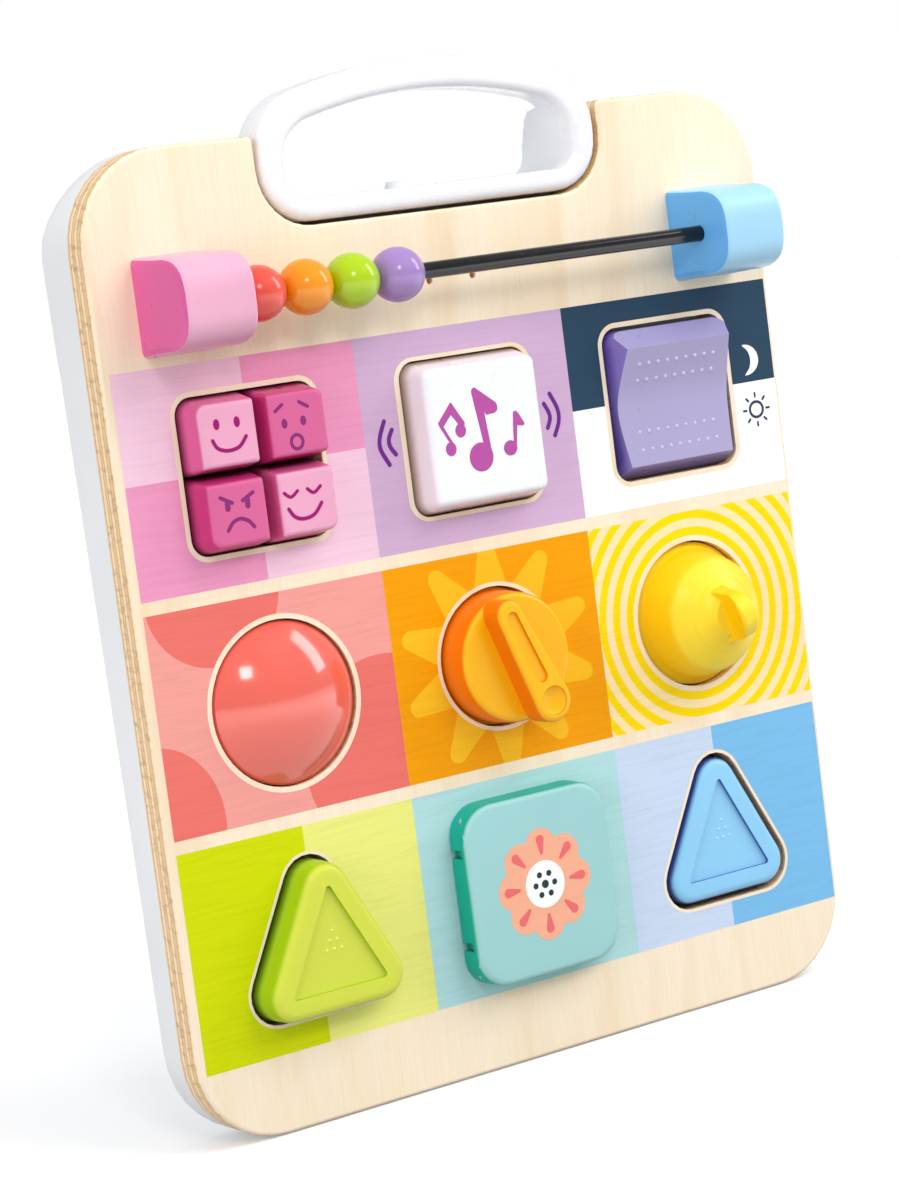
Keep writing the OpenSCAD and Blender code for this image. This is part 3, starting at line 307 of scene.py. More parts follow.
def mirror_film():
    """Silvered film: bright and almost smooth, with a faint ripple."""
    surface = Surface("mirror film")
    tone = surface.noise(12, detail=2)
    surface.colour(surface.ramp(tone, [(0.3, linear(222, 227, 232)), (0.7, linear(232, 236, 240))]))
    surface.roughness(surface.noise(60, detail=2), 0.05, 0.08)
    surface.bump(surface.noise(30, detail=2), 0.05, 0.05 * MM)
    return surface.finish(Metallic=1.0)


# A second colour given to plastic() is painted shade on the sides or ends; a third is a darker painted
# shade at the foot of the sides
MATERIAL = {
    "ply": plywood(),
    "shell": plastic("white shell", (238, 240, 242), rough=0.4, grain=0.35),
    "handle": plastic("white grip", (242, 242, 245), rough=0.27, grain=0.15),
    "deck": plastic("white deck", (225, 226, 228), rough=0.45),
    "circuit": plastic("green circuit board", (24, 104, 58), rough=0.4),
    "black": plastic("black gloss", (12, 12, 14), rough=0.14, grain=0.05, Specular_IOR_Level=0.5),
    "black matt": plastic("black moulding", (30, 30, 33), rough=0.4),
    "clear": plastic("clear light", (245, 245, 238), rough=0.12),
    "cell": plastic("cell sleeve", (196, 146, 50), rough=0.25),
    "steel": steel(),
    "mirror": mirror_film(),
    "silicone": plastic("grey silicone", (178, 180, 184), rough=0.6),
    "pink": plastic("pink bracket", (234, 174, 199), (222, 96, 158), ends=True),
    "blue": plastic("blue bracket", (164, 213, 241), (98, 172, 232), ends=True),
    "bead coral": bead("coral bead", (238, 88, 72)),
    "bead orange": bead("orange bead", (248, 150, 10)),
    "bead lime": bead("lime bead", (172, 208, 10)),
    "bead purple": bead("purple bead", (162, 130, 192)),
    "key pale": plastic("pale pink key", (236, 168, 197), (214, 92, 148), (112, 20, 60)),
    "key deep": plastic("deep pink key", (216, 100, 151), (196, 54, 120), (98, 12, 54)),
    "key white": plastic("white key", (242, 244, 252), (238, 230, 234), (150, 118, 98), rough=0.3),
    "dome": plastic("coral dome", (238, 100, 84), rough=0.16, grain=0.03,
                    Coat_Weight=0.7, Coat_Roughness=0.08, Specular_IOR_Level=0.5),
    "rocker": plastic("violet rocker", (172, 164, 203), (128, 108, 190), (52, 34, 128)),
    "dial": plastic("amber dial", (251, 186, 8), (238, 122, 4)),
    "knob": plastic("yellow knob", (255, 222, 50), (255, 204, 0), rough=0.36),
    "green": plastic("lime button", (210, 219, 72), (160, 194, 20), (66, 100, 14)),
    "sky": plastic("sky button", (144, 207, 244), (100, 150, 220), (28, 44, 140)),
    "lid": plastic("teal lid", (157, 208, 208), (0, 166, 146), rough=0.38),
    "lug": plastic("teal lugs", (0, 140, 124)),
    # The dots are paler than their buttons as painted highlight, for the light that catches their raised
    # tops
    "rocker dots": plastic("violet dots", (205, 197, 232)),
    "green dots": plastic("lime dots", (232, 240, 128)),
    "sky dots": plastic("sky dots", (178, 224, 250)),
}

PAINT = {name: paint(name + " paint", colour) for name, colour in {
    "pale pink": (247, 206, 225), "mid pink": (239, 156, 194), "lilac": (211, 177, 211),
    "navy": (42, 68, 90), "white": (254, 253, 254), "salmon": (243, 162, 152),
    "coral": (237, 118, 108), "orange": (245, 160, 0), "ray": (251, 192, 34),
    "yellow": (254, 220, 0), "cream": (254, 229, 176), "lime": (210, 221, 0),
    "pale lime": (238, 238, 130), "pale teal": (180, 223, 224), "periwinkle": (203, 219, 242),
    "sky": (124, 190, 234)}.items()}

INK = {
    "violet": ink("violet ink", (112, 44, 140)),
    "navy": ink("navy ink", (52, 62, 92)),
    "magenta": ink("magenta ink", (160, 26, 112)),
    "plum": ink("plum ink", (140, 50, 120)),
    "note": ink("note ink", (184, 84, 162), 0.03),
    "peach": ink("peach print", (246, 178, 146)),
    "rose": ink("rose print", (236, 112, 114)),
    "white": ink("white print", (250, 252, 250), 0.01),
    "dark": ink("dark print", (44, 60, 62)),
}

# ---------- finish of the CAD nodes ----------

NODES_OF_FINISH = {
    "ply": ["wood_board"], "shell": ["rear_shell", "battery_door"], "handle": ["handle_front"],
    "deck": ["inner_deck"], "circuit": ["circuit_board"], "clear": ["dome_light"],
    "black matt": ["speaker", "dial_retainer", "knob_retainer", "seesaw_lever", "power_slider"],
    "cell": ["batteries"], "mirror": ["flap_mirror"], "black": ["rail_rod"],
    "steel": ["battery_contacts", "door_screw", "case_screws", "deck_screws", "circuit_screws",
              "bracket_screws", "rocker_pin", "lever_pin", "hinge_pin"],
    "silicone": ["smile_return", "surprise_return", "cross_return", "calm_return", "music_return",
                 "dome_return"],
    "pink": ["pink_bracket"], "blue": ["blue_bracket"], "bead coral": ["coral_bead"],
    "bead orange": ["orange_bead"], "bead lime": ["lime_bead"], "bead purple": ["purple_bead"],
    "key pale": ["smile_key", "calm_key"], "key deep": ["surprise_key", "cross_key"],
    "key white": ["music_key"], "dome": ["dome_button"], "rocker": ["day_night_rocker"],
    "dial": ["orange_dial"], "knob": ["yellow_knob"], "green": ["green_triangle"],
    "sky": ["blue_triangle"], "lid": ["flap_lid"], "lug": ["hinge_lugs"],
}

# Nodes whose sharp edges get a small moulded radius, in millimetres
EDGE_RADIUS = {
    "wood_board": 0.35, "rear_shell": 0.3, "battery_door": 0.3, "pink_bracket": 0.7,
    "blue_bracket": 0.7, "day_night_rocker": 1.2, "orange_dial": 0.5, "yellow_knob": 0.4,
    "green_triangle": 0.4, "blue_triangle": 0.4, "power_slider": 0.3,
}
SMOOTH_BELOW = math.radians(48)
ROUND_ABOVE = math.radians(42)
JOIN_WITHIN = 0.002 * MM


def shade_by_angle():
    """Geometry nodes that shade every edge smooth up to the angle SMOOTH_BELOW."""
    tree = bpy.data.node_groups.new("Shade by angle", "GeometryNodeTree")
    tree.interface.new_socket("Geometry", in_out="INPUT", socket_type="NodeSocketGeometry")
    tree.interface.new_socket("Geometry", in_out="OUTPUT", socket_type="NodeSocketGeometry")
    new = tree.nodes.new
    start, end = new("NodeGroupInput"), new("NodeGroupOutput")
    plain = new("GeometryNodeRemoveAttribute")
    plain.inputs["Name"].default_value = "custom_normal"
    faces, edges = new("GeometryNodeSetShadeSmooth"), new("GeometryNodeSetShadeSmooth")
    edges.domain = "EDGE"
    angle, limit = new("GeometryNodeInputMeshEdgeAngle"), new("FunctionNodeCompare")
    limit.operation = "LESS_THAN"
    limit.inputs["B"].default_value = SMOOTH_BELOW
    for source, target in (
        (start.outputs[0], plain.inputs["Geometry"]),
        (plain.outputs[0], faces.inputs["Geometry"]),
        (faces.outputs[0], edges.inputs["Geometry"]),
        (angle.outputs["Unsigned Angle"], limit.inputs["A"]),
        (limit.outputs[0], edges.inputs["Shade Smooth"]),
        (edges.outputs[0], end.inputs[0]),
    ):
        tree.links.new(source, target)
    return tree


SHADING = shade_by_angle()


def dress(node, finish):
    """Gives a CAD node its material, joins its faces, rounds its sharp edges and shades it by angle."""
    obj = NODES[node]
    obj.data.materials.clear()
    obj.data.materials.append(MATERIAL[finish])
    obj.modifiers.new("Join faces", "WELD").merge_threshold = JOIN_WITHIN
    if node in EDGE_RADIUS:
        bevel = obj.modifiers.new("Edge radius", "BEVEL")
        bevel.width = EDGE_RADIUS[node] * MM
        bevel.segments = 2
        bevel.limit_method = "ANGLE"
        bevel.angle_limit = ROUND_ABOVE
        bevel.use_clamp_overlap = True
        bevel.miter_outer = "MITER_ARC"
    obj.modifiers.new("Shading", "NODES").node_group = SHADING
    obj.modifiers.new("Flat faces", "WEIGHTED_NORMAL").keep_sharp = True


for finish, nodes in NODES_OF_FINISH.items():
    for node in nodes:
        dress(node, finish)

# ---------- flat outlines ----------


def polar(centre, degrees, rx, ry=None):
    """Point at an angle round a centre, on a circle or an ellipse."""
    angle = math.radians(degrees)
    return centre[0] + rx * math.cos(angle), centre[1] + (ry or rx) * math.sin(angle)


def circle(cx, cy, rx, ry=None, count=48):
    """Outline of a circle or an ellipse."""
    return [polar((cx, cy), 360 * i / count, rx, ry) for i in range(count)]


def round_rect(cx, cy, w, h, r):
    """Outline of a rectangle with round corners."""
    dx, dy, steps = w / 2 - r, h / 2 - r, 8
    return [polar((cx + sx * dx, cy + sy * dy), 90 * k + 90 * i / steps, r)
            for k, (sx, sy) in enumerate(((1, 1), (-1, 1), (-1, -1), (1, -1)))
            for i in range(steps + 1)]


def round_triangle(cx, cy, r):
    """Outline of the triangles' openings with corner radius r, anticlockwise."""
    half_w, half_h = TRIANGLE_HALF
    corners = [(cx - half_w, cy - half_h), (cx + half_w, cy - half_h), (cx, cy + half_h)]
    steps = 12
    out = []
    for k in range(3):
        before, corner, after = corners[k - 1], corners[k], corners[(k + 1) % 3]
        first = math.atan2(corner[1] - before[1], corner[0] - before[0]) - math.pi / 2
        last = math.atan2(after[1] - corner[1], after[0] - corner[0]) - math.pi / 2
        while last < first:
            last += 2 * math.pi
        for i in range(steps + 1):
            out.append(polar(corner, math.degrees(first + (last - first) * i / steps), r))
    return out


def smooth_line(points):
    """Catmull-Rom line through the points."""
    if len(points) < 3:
        return points
    steps = 6
    padded = [points[0]] + points + [points[-1]]
    out = []
    for k in range(1, len(padded) - 2):
        a, b, c, d = (Vector(q) for q in padded[k - 1:k + 3])
        for t in (i / steps for i in range(steps)):
            out.append(0.5 * (2 * b + (c - a) * t + (2 * a - 5 * b + 4 * c - d) * t ** 2
                              + (3 * b - a - 3 * c + d) * t ** 3))
    return out + [points[-1]]


def ribbon(points, width):
    """Outline of a line with round ends; width is one number, or a start and an end width."""
    line = [Vector(q) for q in smooth_line(points)]
    start_width, end_width = width if isinstance(width, tuple) else (width, width)
    last = len(line) - 1
    left, right = [], []
    for i, point in enumerate(line):
        along = (line[min(i + 1, last)] - line[max(i - 1, 0)]).normalized()
        side = Vector((-along.y, along.x)) * (start_width + (end_width - start_width) * i / last) / 2
        left.append(point + side)
        right.append(point - side)

    def cap(centre, arm):
        return [centre + Matrix.Rotation(-math.pi * k / 6, 2) @ arm for k in range(1, 6)]

    end, start = cap(line[-1], left[-1] - line[-1]), cap(line[0], right[0] - line[0])
    return [tuple(q) for q in left + end + right[::-1] + start]


def inside(x, y, outline):
    """Whether a point lies inside an outline."""
    hit = False
    for (x0, y0), (x1, y1) in zip(outline, outline[1:] + outline[:1]):
        if (y0 > y) != (y1 > y) and x < (x1 - x0) * (y - y0) / (y1 - y0) + x0:
            hit = not hit
    return hit


# ---------- ways to make a printed or raised piece ----------


def new_piece(name, mesh, body):
    """Adds a mesh to the scene as a piece that rides on a body."""
    obj = bpy.data.objects.new(name, mesh)
    SCENE.collection.objects.link(obj)
    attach(obj, body)
    return obj


def clean_mesh(mesh, flat):
    """Drops loose points and turns the faces outwards, or a flat sheet's faces to the front."""
    bm = bmesh.new()
    bm.from_mesh(mesh)
    bmesh.ops.delete(bm, geom=[v for v in bm.verts if not v.link_faces], context="VERTS")
    bmesh.ops.recalc_face_normals(bm, faces=bm.faces)
    if flat and sum(f.normal.y for f in bm.faces) > 0:
        bmesh.ops.reverse_faces(bm, faces=bm.faces)
    bm.to_mesh(mesh)
    bm.free()


def painted_tile(name, col, row, hole, borders, choose, paints):
    """One tile of paint with its hole left out. The borders are those of its colours, and
    choose(x, y) gives the index of the paint at a point."""
    x0, x1 = TILE_X[col], TILE_X[col + 1]
    y0, y1 = TILE_Y[row]
    holes = [hole] if hole else []
    verts, edges = [], []
    for loop in [[(x0, y0), (x1, y0), (x1, y1), (x0, y1)]] + holes + borders:
        base = len(verts)
        verts += [Vector(p) for p in loop]
        edges += [(base + i, base + (i + 1) % len(loop)) for i in range(len(loop))]
    all_triangles, tolerance = 0, 1e-4
    points, _, faces, *_ = geometry.delaunay_2d_cdt(verts, edges, [], all_triangles, tolerance)
    kept, colours = [], []
    for face in faces:
        cx = sum(points[i].x for i in face) / len(face)
        cy = sum(points[i].y for i in face) / len(face)
        if x0 < cx < x1 and y0 < cy < y1 and not (hole and inside(cx, cy, hole)):
            kept.append(face)
            colours.append(choose(cx, cy))
    mesh = bpy.data.meshes.new(name)
    mesh.from_pydata([place(p.x, p.y, LIFT) for p in points], [], kept)
    for material in paints:
        mesh.materials.append(material)
    mesh.polygons.foreach_set("material_index", colours)
    clean_mesh(mesh, flat=True)
    return new_piece(name, mesh, "case")


def printed(name, shapes, z, material, body, thick=0.05, shift=0.0):
    """Thin print: each shape is an outline, or a list of an outline and its holes. Each reaches a
    hair further up and down than the one before it, so that shapes may overlap."""
    sunk, hair = 0.02, 0.003
    verts, faces = [], []
    for step, shape in enumerate(shapes):
        loops = shape if isinstance(shape[0], list) else [shape]
        base, count = len(verts), sum(len(loop) for loop in loops)
        for level in (z + thick + hair * step, z - sunk - hair * step):
            verts += [place(x + shift, y, level) for loop in loops for x, y in loop]
        for tri in geometry.tessellate_polygon([[Vector((x, y, 0)) for x, y in loop] for loop in loops]):
            faces.append([base + i for i in tri])
            faces.append([base + count + i for i in reversed(tri)])
        start = base
        for loop in loops:
            for i in range(len(loop)):
                a, b = start + i, start + (i + 1) % len(loop)
                faces.append([a, b, b + count, a + count])
            start += len(loop)
    mesh = bpy.data.meshes.new(name)
    mesh.from_pydata(verts, [], faces)
    mesh.materials.append(material)
    clean_mesh(mesh, flat=False)
    return new_piece(name, mesh, body)


def raised_dots(name, points, r, height, material, body, matrix=Matrix()):
    """Small raised dots, each a low dome whose foot is sunk a little; the matrix turns them all."""
    sunk, rings, around = 0.05, 3, 12
    verts, faces = [], []
    for x, y, z in points:
        base = len(verts)
        verts.append((x, y, z + height))
        for k in range(1, rings + 1):
            slope = math.pi / 2 * k / rings
            ring_z = z - sunk + (height + sunk) * math.cos(slope)
            for i in range(around):
                turn = 2 * math.pi * i / around
                verts.append((x + r * math.sin(slope) * math.cos(turn),
                              y + r * math.sin(slope) * math.sin(turn), ring_z))
        for i in range(around):
            j = (i + 1) % around
            faces.append([base, base + 1 + i, base + 1 + j])
            for k in range(rings - 1):
                a = base + 1 + k * around
                faces.append([a + i, a + around + i, a + around + j, a + j])
    mesh = bpy.data.meshes.new(name)
    mesh.from_pydata([place(*(matrix @ Vector(v))) for v in verts], [], faces)
    mesh.materials.append(material)
    mesh.shade_smooth()
    return new_piece(name, mesh, body)


def upright_border(x, row):
    """Border of two colours, up the whole tile."""
    return [(x, y) for y in TILE_Y[row]]


def level_border(y, col):
    """Border of two colours, across the whole tile."""
    return [(TILE_X[col], y), (TILE_X[col + 1], y)]


def only(x, y):
    """The choice on a tile of one colour."""
    return 0


# ---------- top row: emotion keys, music key, rocker ----------

CHECK_Y = ROW[0] + 0.4
painted_tile(
    "tile_checks", 0, 0, round_rect(COLUMN[0], ROW[0], *EMOTION_GAP),
    [upright_border(COLUMN[0], 0), level_border(CHECK_Y, 0)],
    lambda x, y: int((x > COLUMN[0]) == (y > CHECK_Y)), [PAINT["pale pink"], PAINT["mid pink"]])

# How far the prints on the keys stand left of the places given here
KEY_SHIFT = -1.37


def on_key(name, shapes, material, key):
    """Print on the face of a key."""
    printed(name, shapes, KEY_RISE, material, key, shift=KEY_SHIFT)


THIN, LINE, BROAD = 1.05, 1.15, 1.75
on_key("smile_face", [
    circle(-92.2, 211.8, 1.05, 1.6, 24), circle(-85.3, 211.7, 1.05, 1.6, 24),
    ribbon([(-94.1, 207.3), (-92.7, 204.9), (-89.3, 203.8), (-85.4, 204.5), (-82.8, 207.2)], LINE),
], INK["magenta"], "smile_key")
on_key("surprise_face", [
    ribbon([(-72.1, 212.8), (-69.5, 214.5)], THIN), ribbon([(-63.6, 214.6), (-60.8, 212.9)], THIN),
    circle(-69.4, 208.9, 1.0, 1.45, 24), circle(-62.9, 209.0, 1.0, 1.45, 24),
    [circle(-65.9, 203.1, 2.5, 2.6), circle(-65.9, 203.1, 1.45, 1.55)[::-1]],
], INK["plum"], "surprise_key")
on_key("cross_face", [
    ribbon([(-94.2, 190.7), (-90.4, 188.7)], LINE), ribbon([(-92.0, 189.0), (-92.1, 187.2)], BROAD),
    ribbon([(-86.9, 188.9), (-83.1, 190.8)], LINE), ribbon([(-85.3, 189.1), (-85.3, 187.2)], BROAD),
    ribbon([(-92.9, 180.9), (-90.9, 183.1), (-88.3, 183.8), (-85.8, 182.8), (-84.0, 180.8)], LINE),
], INK["plum"], "cross_key")
on_key("calm_face", [
    ribbon([(-72.6, 188.8), (-70.5, 187.4), (-68.0, 188.9)], THIN),
    ribbon([(-64.6, 189.0), (-62.5, 187.6), (-60.0, 189.2)], THIN),
    ribbon([(-71.8, 184.0), (-70.0, 181.5), (-67.0, 180.5), (-63.2, 181.3), (-60.3, 184.3)], LINE),
], INK["magenta"], "calm_key")

# Lilac tile with sound arcs either side of the key, and three music notes on it
painted_tile("tile_music", 1, 0, round_rect(COLUMN[1], ROW[0], *MUSIC_GAP), [], only, [PAINT["lilac"]])
ARC_WIDTH = 1.45
printed("sound_arcs", [
    ribbon([(-30.6, 204.2), (-32.8, 199.6), (-33.0, 195.9), (-30.5, 191.0)], ARC_WIDTH),
    ribbon([(-28.2, 201.3), (-29.6, 198.8), (-29.5, 196.4), (-27.8, 193.8)], ARC_WIDTH),
    ribbon([(31.6, 204.3), (33.9, 199.4), (33.9, 195.4), (31.8, 191.2)], ARC_WIDTH),
    ribbon([(29.0, 201.5), (30.5, 198.5), (30.6, 196.4), (29.4, 193.9)], ARC_WIDTH),
], LIFT, INK["violet"], "case")
on_key("notes", [
    [[(-10.6, 207.2), (-15.9, 201.5), (-15.5, 200.4), (-12.6, 195.2), (-11.2, 194.9), (-14.1, 200.2),
      (-10.9, 203.4), (-8.3, 199.9), (-7.1, 199.8), (-6.2, 200.6)]],
    circle(-12.3, 193.2, 1.95, 2.15, 28),
    ribbon([(-10.5, 206.6), (-6.7, 200.2)], 1.0),
    circle(-8.0, 198.3, 1.95, 2.15, 28),
    [(-2.5, 209.3), (-2.2, 210.2), (-1.2, 210.6), (6.0, 205.1), (6.5, 204.0), (6.3, 202.6),
     (5.2, 201.9), (2.1, 201.7), (1.4, 202.8), (2.5, 190.2), (0.2, 190.2)],
    circle(-1.6, 189.3, 4.4, 4.45, 40),
    [(12.0, 201.2), (12.9, 201.6), (13.9, 200.7), (15.8, 197.4), (15.4, 196.6), (13.0, 197.0),
     (11.9, 190.6), (10.9, 190.6), (11.3, 196.0)],
    circle(9.5, 190.5, 2.5, 2.35, 32),
], INK["note"], "music_key")

# Night over day round the rocker, with a crescent moon and a sun
HORIZON_Y = 197.5
painted_tile("tile_day_night", 2, 0, round_rect(COLUMN[2], ROW[0], *ROCKER_GAP),
             [level_border(HORIZON_Y, 2)], lambda x, y: int(y < HORIZON_Y),
             [PAINT["navy"], PAINT["white"]])
moon = [polar((110.9, 204.7), a, 5.6, 5.0) for a in range(-96, 100, 12)]
moon += [polar((108.8, 204.7), a, 4.4, 4.8) for a in range(64, -65, -12)]
printed("moon", [moon], LIFT, PAINT["white"], "case")
SUN = (113.35, 188.3)
sun = [[circle(*SUN, 3.15, 2.95), circle(*SUN, 2.25, 2.05)[::-1]]]
sun += [ribbon([polar(SUN, 90 + 45 * k, r) for r in (4.2, 5.3)], 0.75) for k in range(8)]
printed("sun", sun, LIFT, INK["navy"], "case")

# Rows of dots on the rocker, whose face is a soft valley; its sizes repeat those of the CAD model
ROCKER_TILT = math.radians(7.3)
ROCKER_AXIS_Z, ROCKER_RISE = -3.6, 5.7
ROCKER_DIP, ROCKER_SOFT, ROCKER_HALF = 4.2, 6.0, 18.9
ROCKER_STEEP = ROCKER_DIP / (math.hypot(ROCKER_HALF, ROCKER_SOFT) - ROCKER_SOFT)
ROCKER_DOT_ROWS = (13.4, 8.0, -8.6, -14.2)
ROCKER_DOT_PITCH, ROCKER_DOT_R, ROCKER_DOT_RISE = 3.75, 0.7, 0.4


def rocker_face(y):
    """Height of the rocker's face over its pin."""
    ends = ROCKER_RISE - ROCKER_AXIS_Z
    return ends - ROCKER_DIP + ROCKER_STEEP * (math.hypot(y, ROCKER_SOFT) - ROCKER_SOFT)


ROCKER_PLACE = (Matrix.Translation((COLUMN[2], ROW[0], ROCKER_AXIS_Z))
                @ Matrix.Rotation(ROCKER_TILT, 4, "X"))
raised_dots("rocker_dots",
            [(ROCKER_DOT_PITCH * (i - 4), y, rocker_face(y)) for y in ROCKER_DOT_ROWS for i in range(9)],
            ROCKER_DOT_R, ROCKER_DOT_RISE, MATERIAL["rocker dots"], "rocker",
            ROCKER_PLACE)

# ---------- middle row: dome, dial, knob ----------

# Soft blobs of coral round the dome
blobs = [circle(-97.6, 162.8, 22.8, 21.6, 64), circle(-124.6, 97.2, 21.8, 24.6, 64),
         circle(-43.5, 105.5, 30.5, 29.8, 64)]
painted_tile("tile_coral", 0, 1, circle(COLUMN[0], ROW[1], DOME_GAP_R, count=96), blobs,
             lambda x, y: int(any(inside(x, y, blob) for blob in blobs)),
             [PAINT["salmon"], PAINT["coral"]])


def sun_ray(degrees):
    """Ray of the sun round the dial: two straight sides and a round tip."""
    root, root_half, tip, tip_r = 17, 7.4, 33.4, 3.0
    centre = Vector((COLUMN[1], ROW[1]))
    out = Vector(polar((0, 0), degrees, 1))
    across = Vector((-out.y, out.x))
    points = [centre + out * root - across * root_half]
    for turn in (math.radians(d) for d in range(-78, 79, 13)):
        points.append(centre + out * tip + tip_r * (math.cos(turn) * out + math.sin(turn) * across))
    points.append(centre + out * root + across * root_half)
    return [tuple(p) for p in points]


rays = [sun_ray(90 + 36 * k) for k in range(10)]
painted_tile("tile_rays", 1, 1, circle(COLUMN[1], ROW[1], DIAL_GAP_R, count=96), rays,
             lambda x, y: int(any(inside(x, y, ray) for ray in rays)), [PAINT["orange"], PAINT["ray"]])

# Rings round the knob, in two colours by turns
RING_PITCH = 2.72
painted_tile("tile_rings", 2, 1, circle(COLUMN[2], ROW[1], KNOB_GAP_R, count=128),
             [circle(COLUMN[2], ROW[1], KNOB_GAP_R + RING_PITCH * k, count=128) for k in range(1, 12)],
             lambda x, y: int((math.dist((x, y), (COLUMN[2], ROW[1])) - KNOB_GAP_R) // RING_PITCH) % 2,
             [PAINT["yellow"], PAINT["cream"]])

# ---------- bottom row: triangles and flap ----------

BLUE_BORDER_X = 79.1
painted_tile("tile_lime", 0, 2, round_triangle(COLUMN[0], ROW[2], TRIANGLE_GAP_R),
             [upright_border(COLUMN[0], 2)], lambda x, y: int(x > COLUMN[0]),
             [PAINT["lime"], PAINT["pale lime"]])
painted_tile("tile_teal", 1, 2, None, [], only, [PAINT["pale teal"]])
painted_tile("tile_blue", 2, 2, round_triangle(COLUMN[2], ROW[2], TRIANGLE_GAP_R),
             [upright_border(BLUE_BORDER_X, 2)], lambda x, y: int(x > BLUE_BORDER_X),
             [PAINT["periwinkle"], PAINT["sky"]])

# Dots on the panels sunk into the triangles' faces, in rows of one, two and three
PANEL_DEPTH = 1.2
DOT_PITCH_X, DOT_PITCH_Y, DOT_TOP = 2.6, 2.8, 2.0
DOT_R, DOT_RISE = 0.55, 0.3
for node, col, material, slot in (("green_triangle", 0, "green dots", "lime_plastic"),
                                  ("blue_triangle", 2, "sky dots", "blue_plastic")):
    panel_z = reach(node) - BOARD_HALF_T - PANEL_DEPTH
    points = [(COLUMN[col] + DOT_PITCH_X * (i - k / 2), ROW[2] + DOT_TOP - DOT_PITCH_Y * k, panel_z)
              for k in range(3) for i in range(k + 1)]
    raised_dots(node + "_dots", points, DOT_R, DOT_RISE, MATERIAL[material], node)

# Plain flower on the flap, its prints one over the other
FLOWER = (0.8, middle("flap_lid")[1] - 0.2)
PETAL_ANGLES = [90 + 45 * k for k in range(8)]
PETAL_AT, PETAL_R, PETAL_BED_R = 11.6, 6.0, 12
HEART_ENDS, HEART_WIDTHS = (9.8, 14.0), (1.1, 3.0)
MIDDLE_R, SEED_AT, SEED_R, MIDDLE_SEED_R = 7.4, 3.6, 0.95, 1.3


def on_flap(name, shapes, material, thick):
    """Print on the flap."""
    printed(name, shapes, FLAP_RISE, material, "flap", thick)


on_flap("flower_petals",
        [circle(*polar(FLOWER, a, PETAL_AT), PETAL_R, count=32) for a in PETAL_ANGLES]
        + [circle(*FLOWER, PETAL_BED_R)],
        INK["peach"], 0.04)
on_flap("flower_hearts",
        [ribbon([polar(FLOWER, a, r) for r in HEART_ENDS], HEART_WIDTHS) for a in PETAL_ANGLES],
        INK["rose"], 0.09)
on_flap("flower_middle", [circle(*FLOWER, MIDDLE_R)], INK["white"], 0.13)
on_flap("flower_seeds",
        [circle(*polar(FLOWER, 60 * k, SEED_AT), SEED_R, count=20) for k in range(6)]
        + [circle(*FLOWER, MIDDLE_SEED_R, count=24)],
        INK["dark"], 0.16)

# ---------- floor, light and camera ----------


def studio_floor():
    """Pale floor that keeps the object's shadow. To the camera and in reflections it glows towards
    white away from the object, and on the object it casts no light of its own."""
    drop, left, right, near, far = -0.0004, -6, 6, -4, 8
    glow_from, glow_to, least, most = 0.2, 0.62, 0.24, 1.1
    shaded, lit = (0.42, 0.42, 0.43, 1), (0.9, 0.9, 0.9, 1)
    mesh = bpy.data.meshes.new("floor")
    corners = [(left, near, drop), (right, near, drop), (right, far, drop), (left, far, drop)]
    mesh.from_pydata(corners, [], [(0, 1, 2, 3)])
    floor = bpy.data.objects.new("floor", mesh)
    SCENE.collection.objects.link(floor)

    surface = Surface("floor")
    path = surface.node("ShaderNodeLightPath").outputs
    seen = surface.maths("MAXIMUM", path["Is Camera Ray"],
                         surface.maths("MAXIMUM", path["Is Glossy Ray"], path["Is Transmission Ray"]))
    surface.colour(surface.mix(seen, shaded, lit))
    distance = surface.node("ShaderNodeVectorMath", operation="LENGTH")
    surface.link(surface.coords.outputs["Object"], distance.inputs[0])
    glow = surface.remap(distance.outputs["Value"], glow_from, glow_to, least, most, smooth=True)
    surface.link(surface.maths("MULTIPLY", glow, seen), surface.shader.inputs["Emission Strength"])
    mesh.materials.append(surface.finish(
        Roughness=0.6, Specular_IOR_Level=0.1, Emission_Color=(1, 1, 1, 1)))


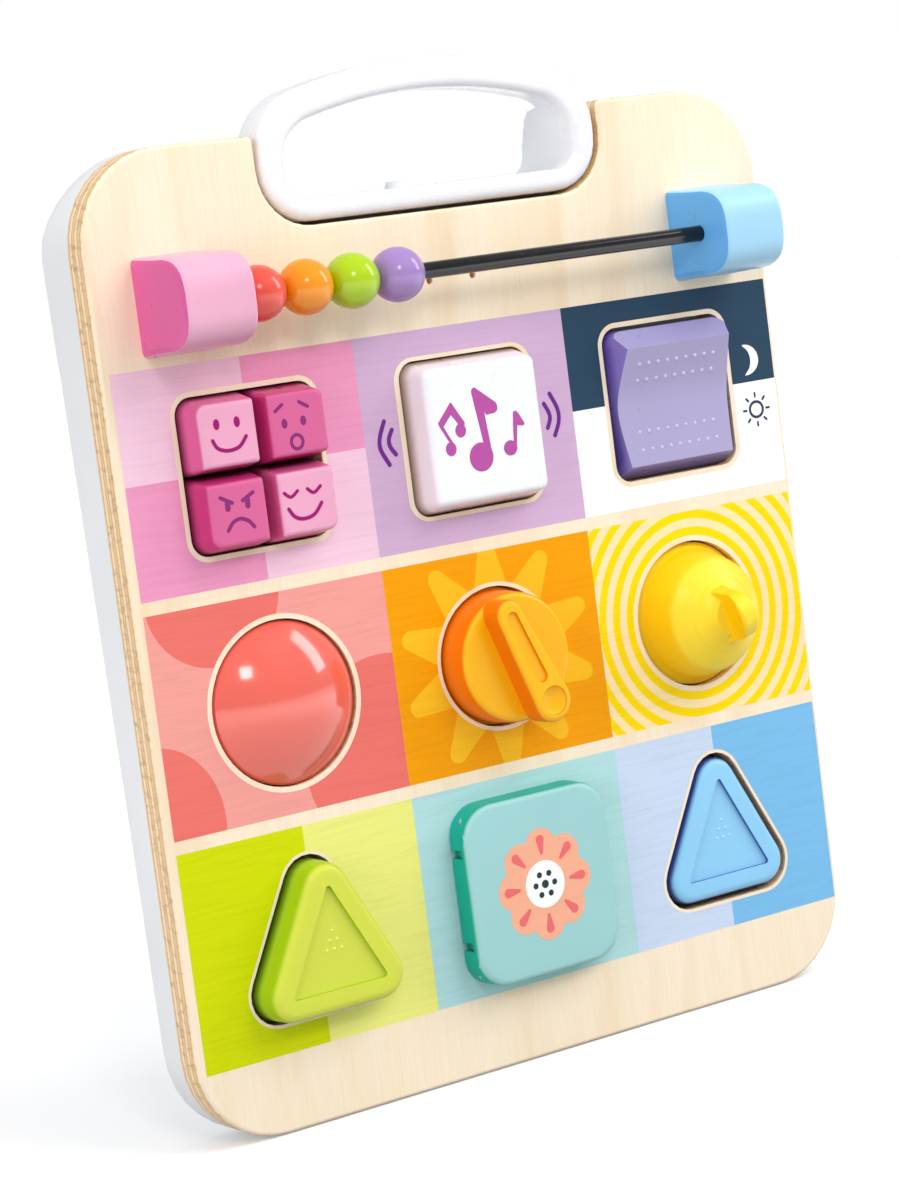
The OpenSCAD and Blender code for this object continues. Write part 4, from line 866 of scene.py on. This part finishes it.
def studio_world():
    """Soft, slightly cool light all round, which the camera sees as plain white."""
    world = bpy.data.worlds.new("studio")
    SCENE.world = world
    world.use_nodes = True
    tree = world.node_tree
    light, white = tree.nodes["Background"], tree.nodes.new("ShaderNodeBackground")
    for background, colour, strength in ((light, (0.97, 0.98, 1.0, 1), 0.55), (white, (1, 1, 1, 1), 1.0)):
        background.inputs["Color"].default_value = colour
        background.inputs["Strength"].default_value = strength
    path, mix = tree.nodes.new("ShaderNodeLightPath"), tree.nodes.new("ShaderNodeMixShader")
    tree.links.new(path.outputs["Is Camera Ray"], mix.inputs[0])
    tree.links.new(light.outputs[0], mix.inputs[1])
    tree.links.new(white.outputs[0], mix.inputs[2])
    tree.links.new(mix.outputs[0], tree.nodes["World Output"].inputs["Surface"])


def lamp(name, direction, distance, size, power, mirrored=False):
    """Soft lamp aimed at the middle of the board. Only a mirrored one shows as a highlight."""
    aim = Vector((0, 0, 0.15))
    light = bpy.data.lights.new(name, "AREA")
    light.shape = "RECTANGLE"
    light.size, light.size_y = size
    light.energy = power
    obj = bpy.data.objects.new(name, light)
    SCENE.collection.objects.link(obj)
    towards = Vector(direction).normalized()
    obj.location = aim + towards * distance
    obj.rotation_euler = towards.to_track_quat("Z", "Y").to_euler()
    obj.visible_glossy = mirrored


def studio_camera():
    """Camera in front, to the left and a little above the middle of the board, looking down on it
    and rolled to the side."""
    camera = bpy.data.cameras.new("camera")
    camera.lens = 98.2
    camera.sensor_width = 36
    camera.clip_end = 50
    eye = bpy.data.objects.new("camera", camera)
    SCENE.collection.objects.link(eye)
    heading, tilt, roll = (math.radians(a) for a in (-33.648, 83.592, -7.321))
    eye.matrix_world = (Matrix.Translation((-0.5660, -0.8322, 0.2587)) @ Matrix.Rotation(heading, 4, "Z")
                        @ Matrix.Rotation(tilt, 4, "X") @ Matrix.Rotation(roll, 4, "Z"))
    SCENE.camera = eye


studio_floor()
studio_world()
lamp("key", (0.5, -1.0, 1.0), 1.5, (0.8, 0.8), 7.8)
lamp("strip", (0.85, -0.4, 0.5), 1.3, (0.35, 0.8), 5, mirrored=True)
lamp("front", (-0.34, -0.79, 0.51), 1.5, (0.3, 0.3), 3.5, mirrored=True)
lamp("top", (0.0, -0.1, 1.0), 1.6, (1.2, 0.8), 5)
lamp("fill", (-1.0, -0.3, 0.2), 1.8, (1.0, 1.0), 11.5)
studio_camera()
SCENE.view_settings.view_transform = "Standard"
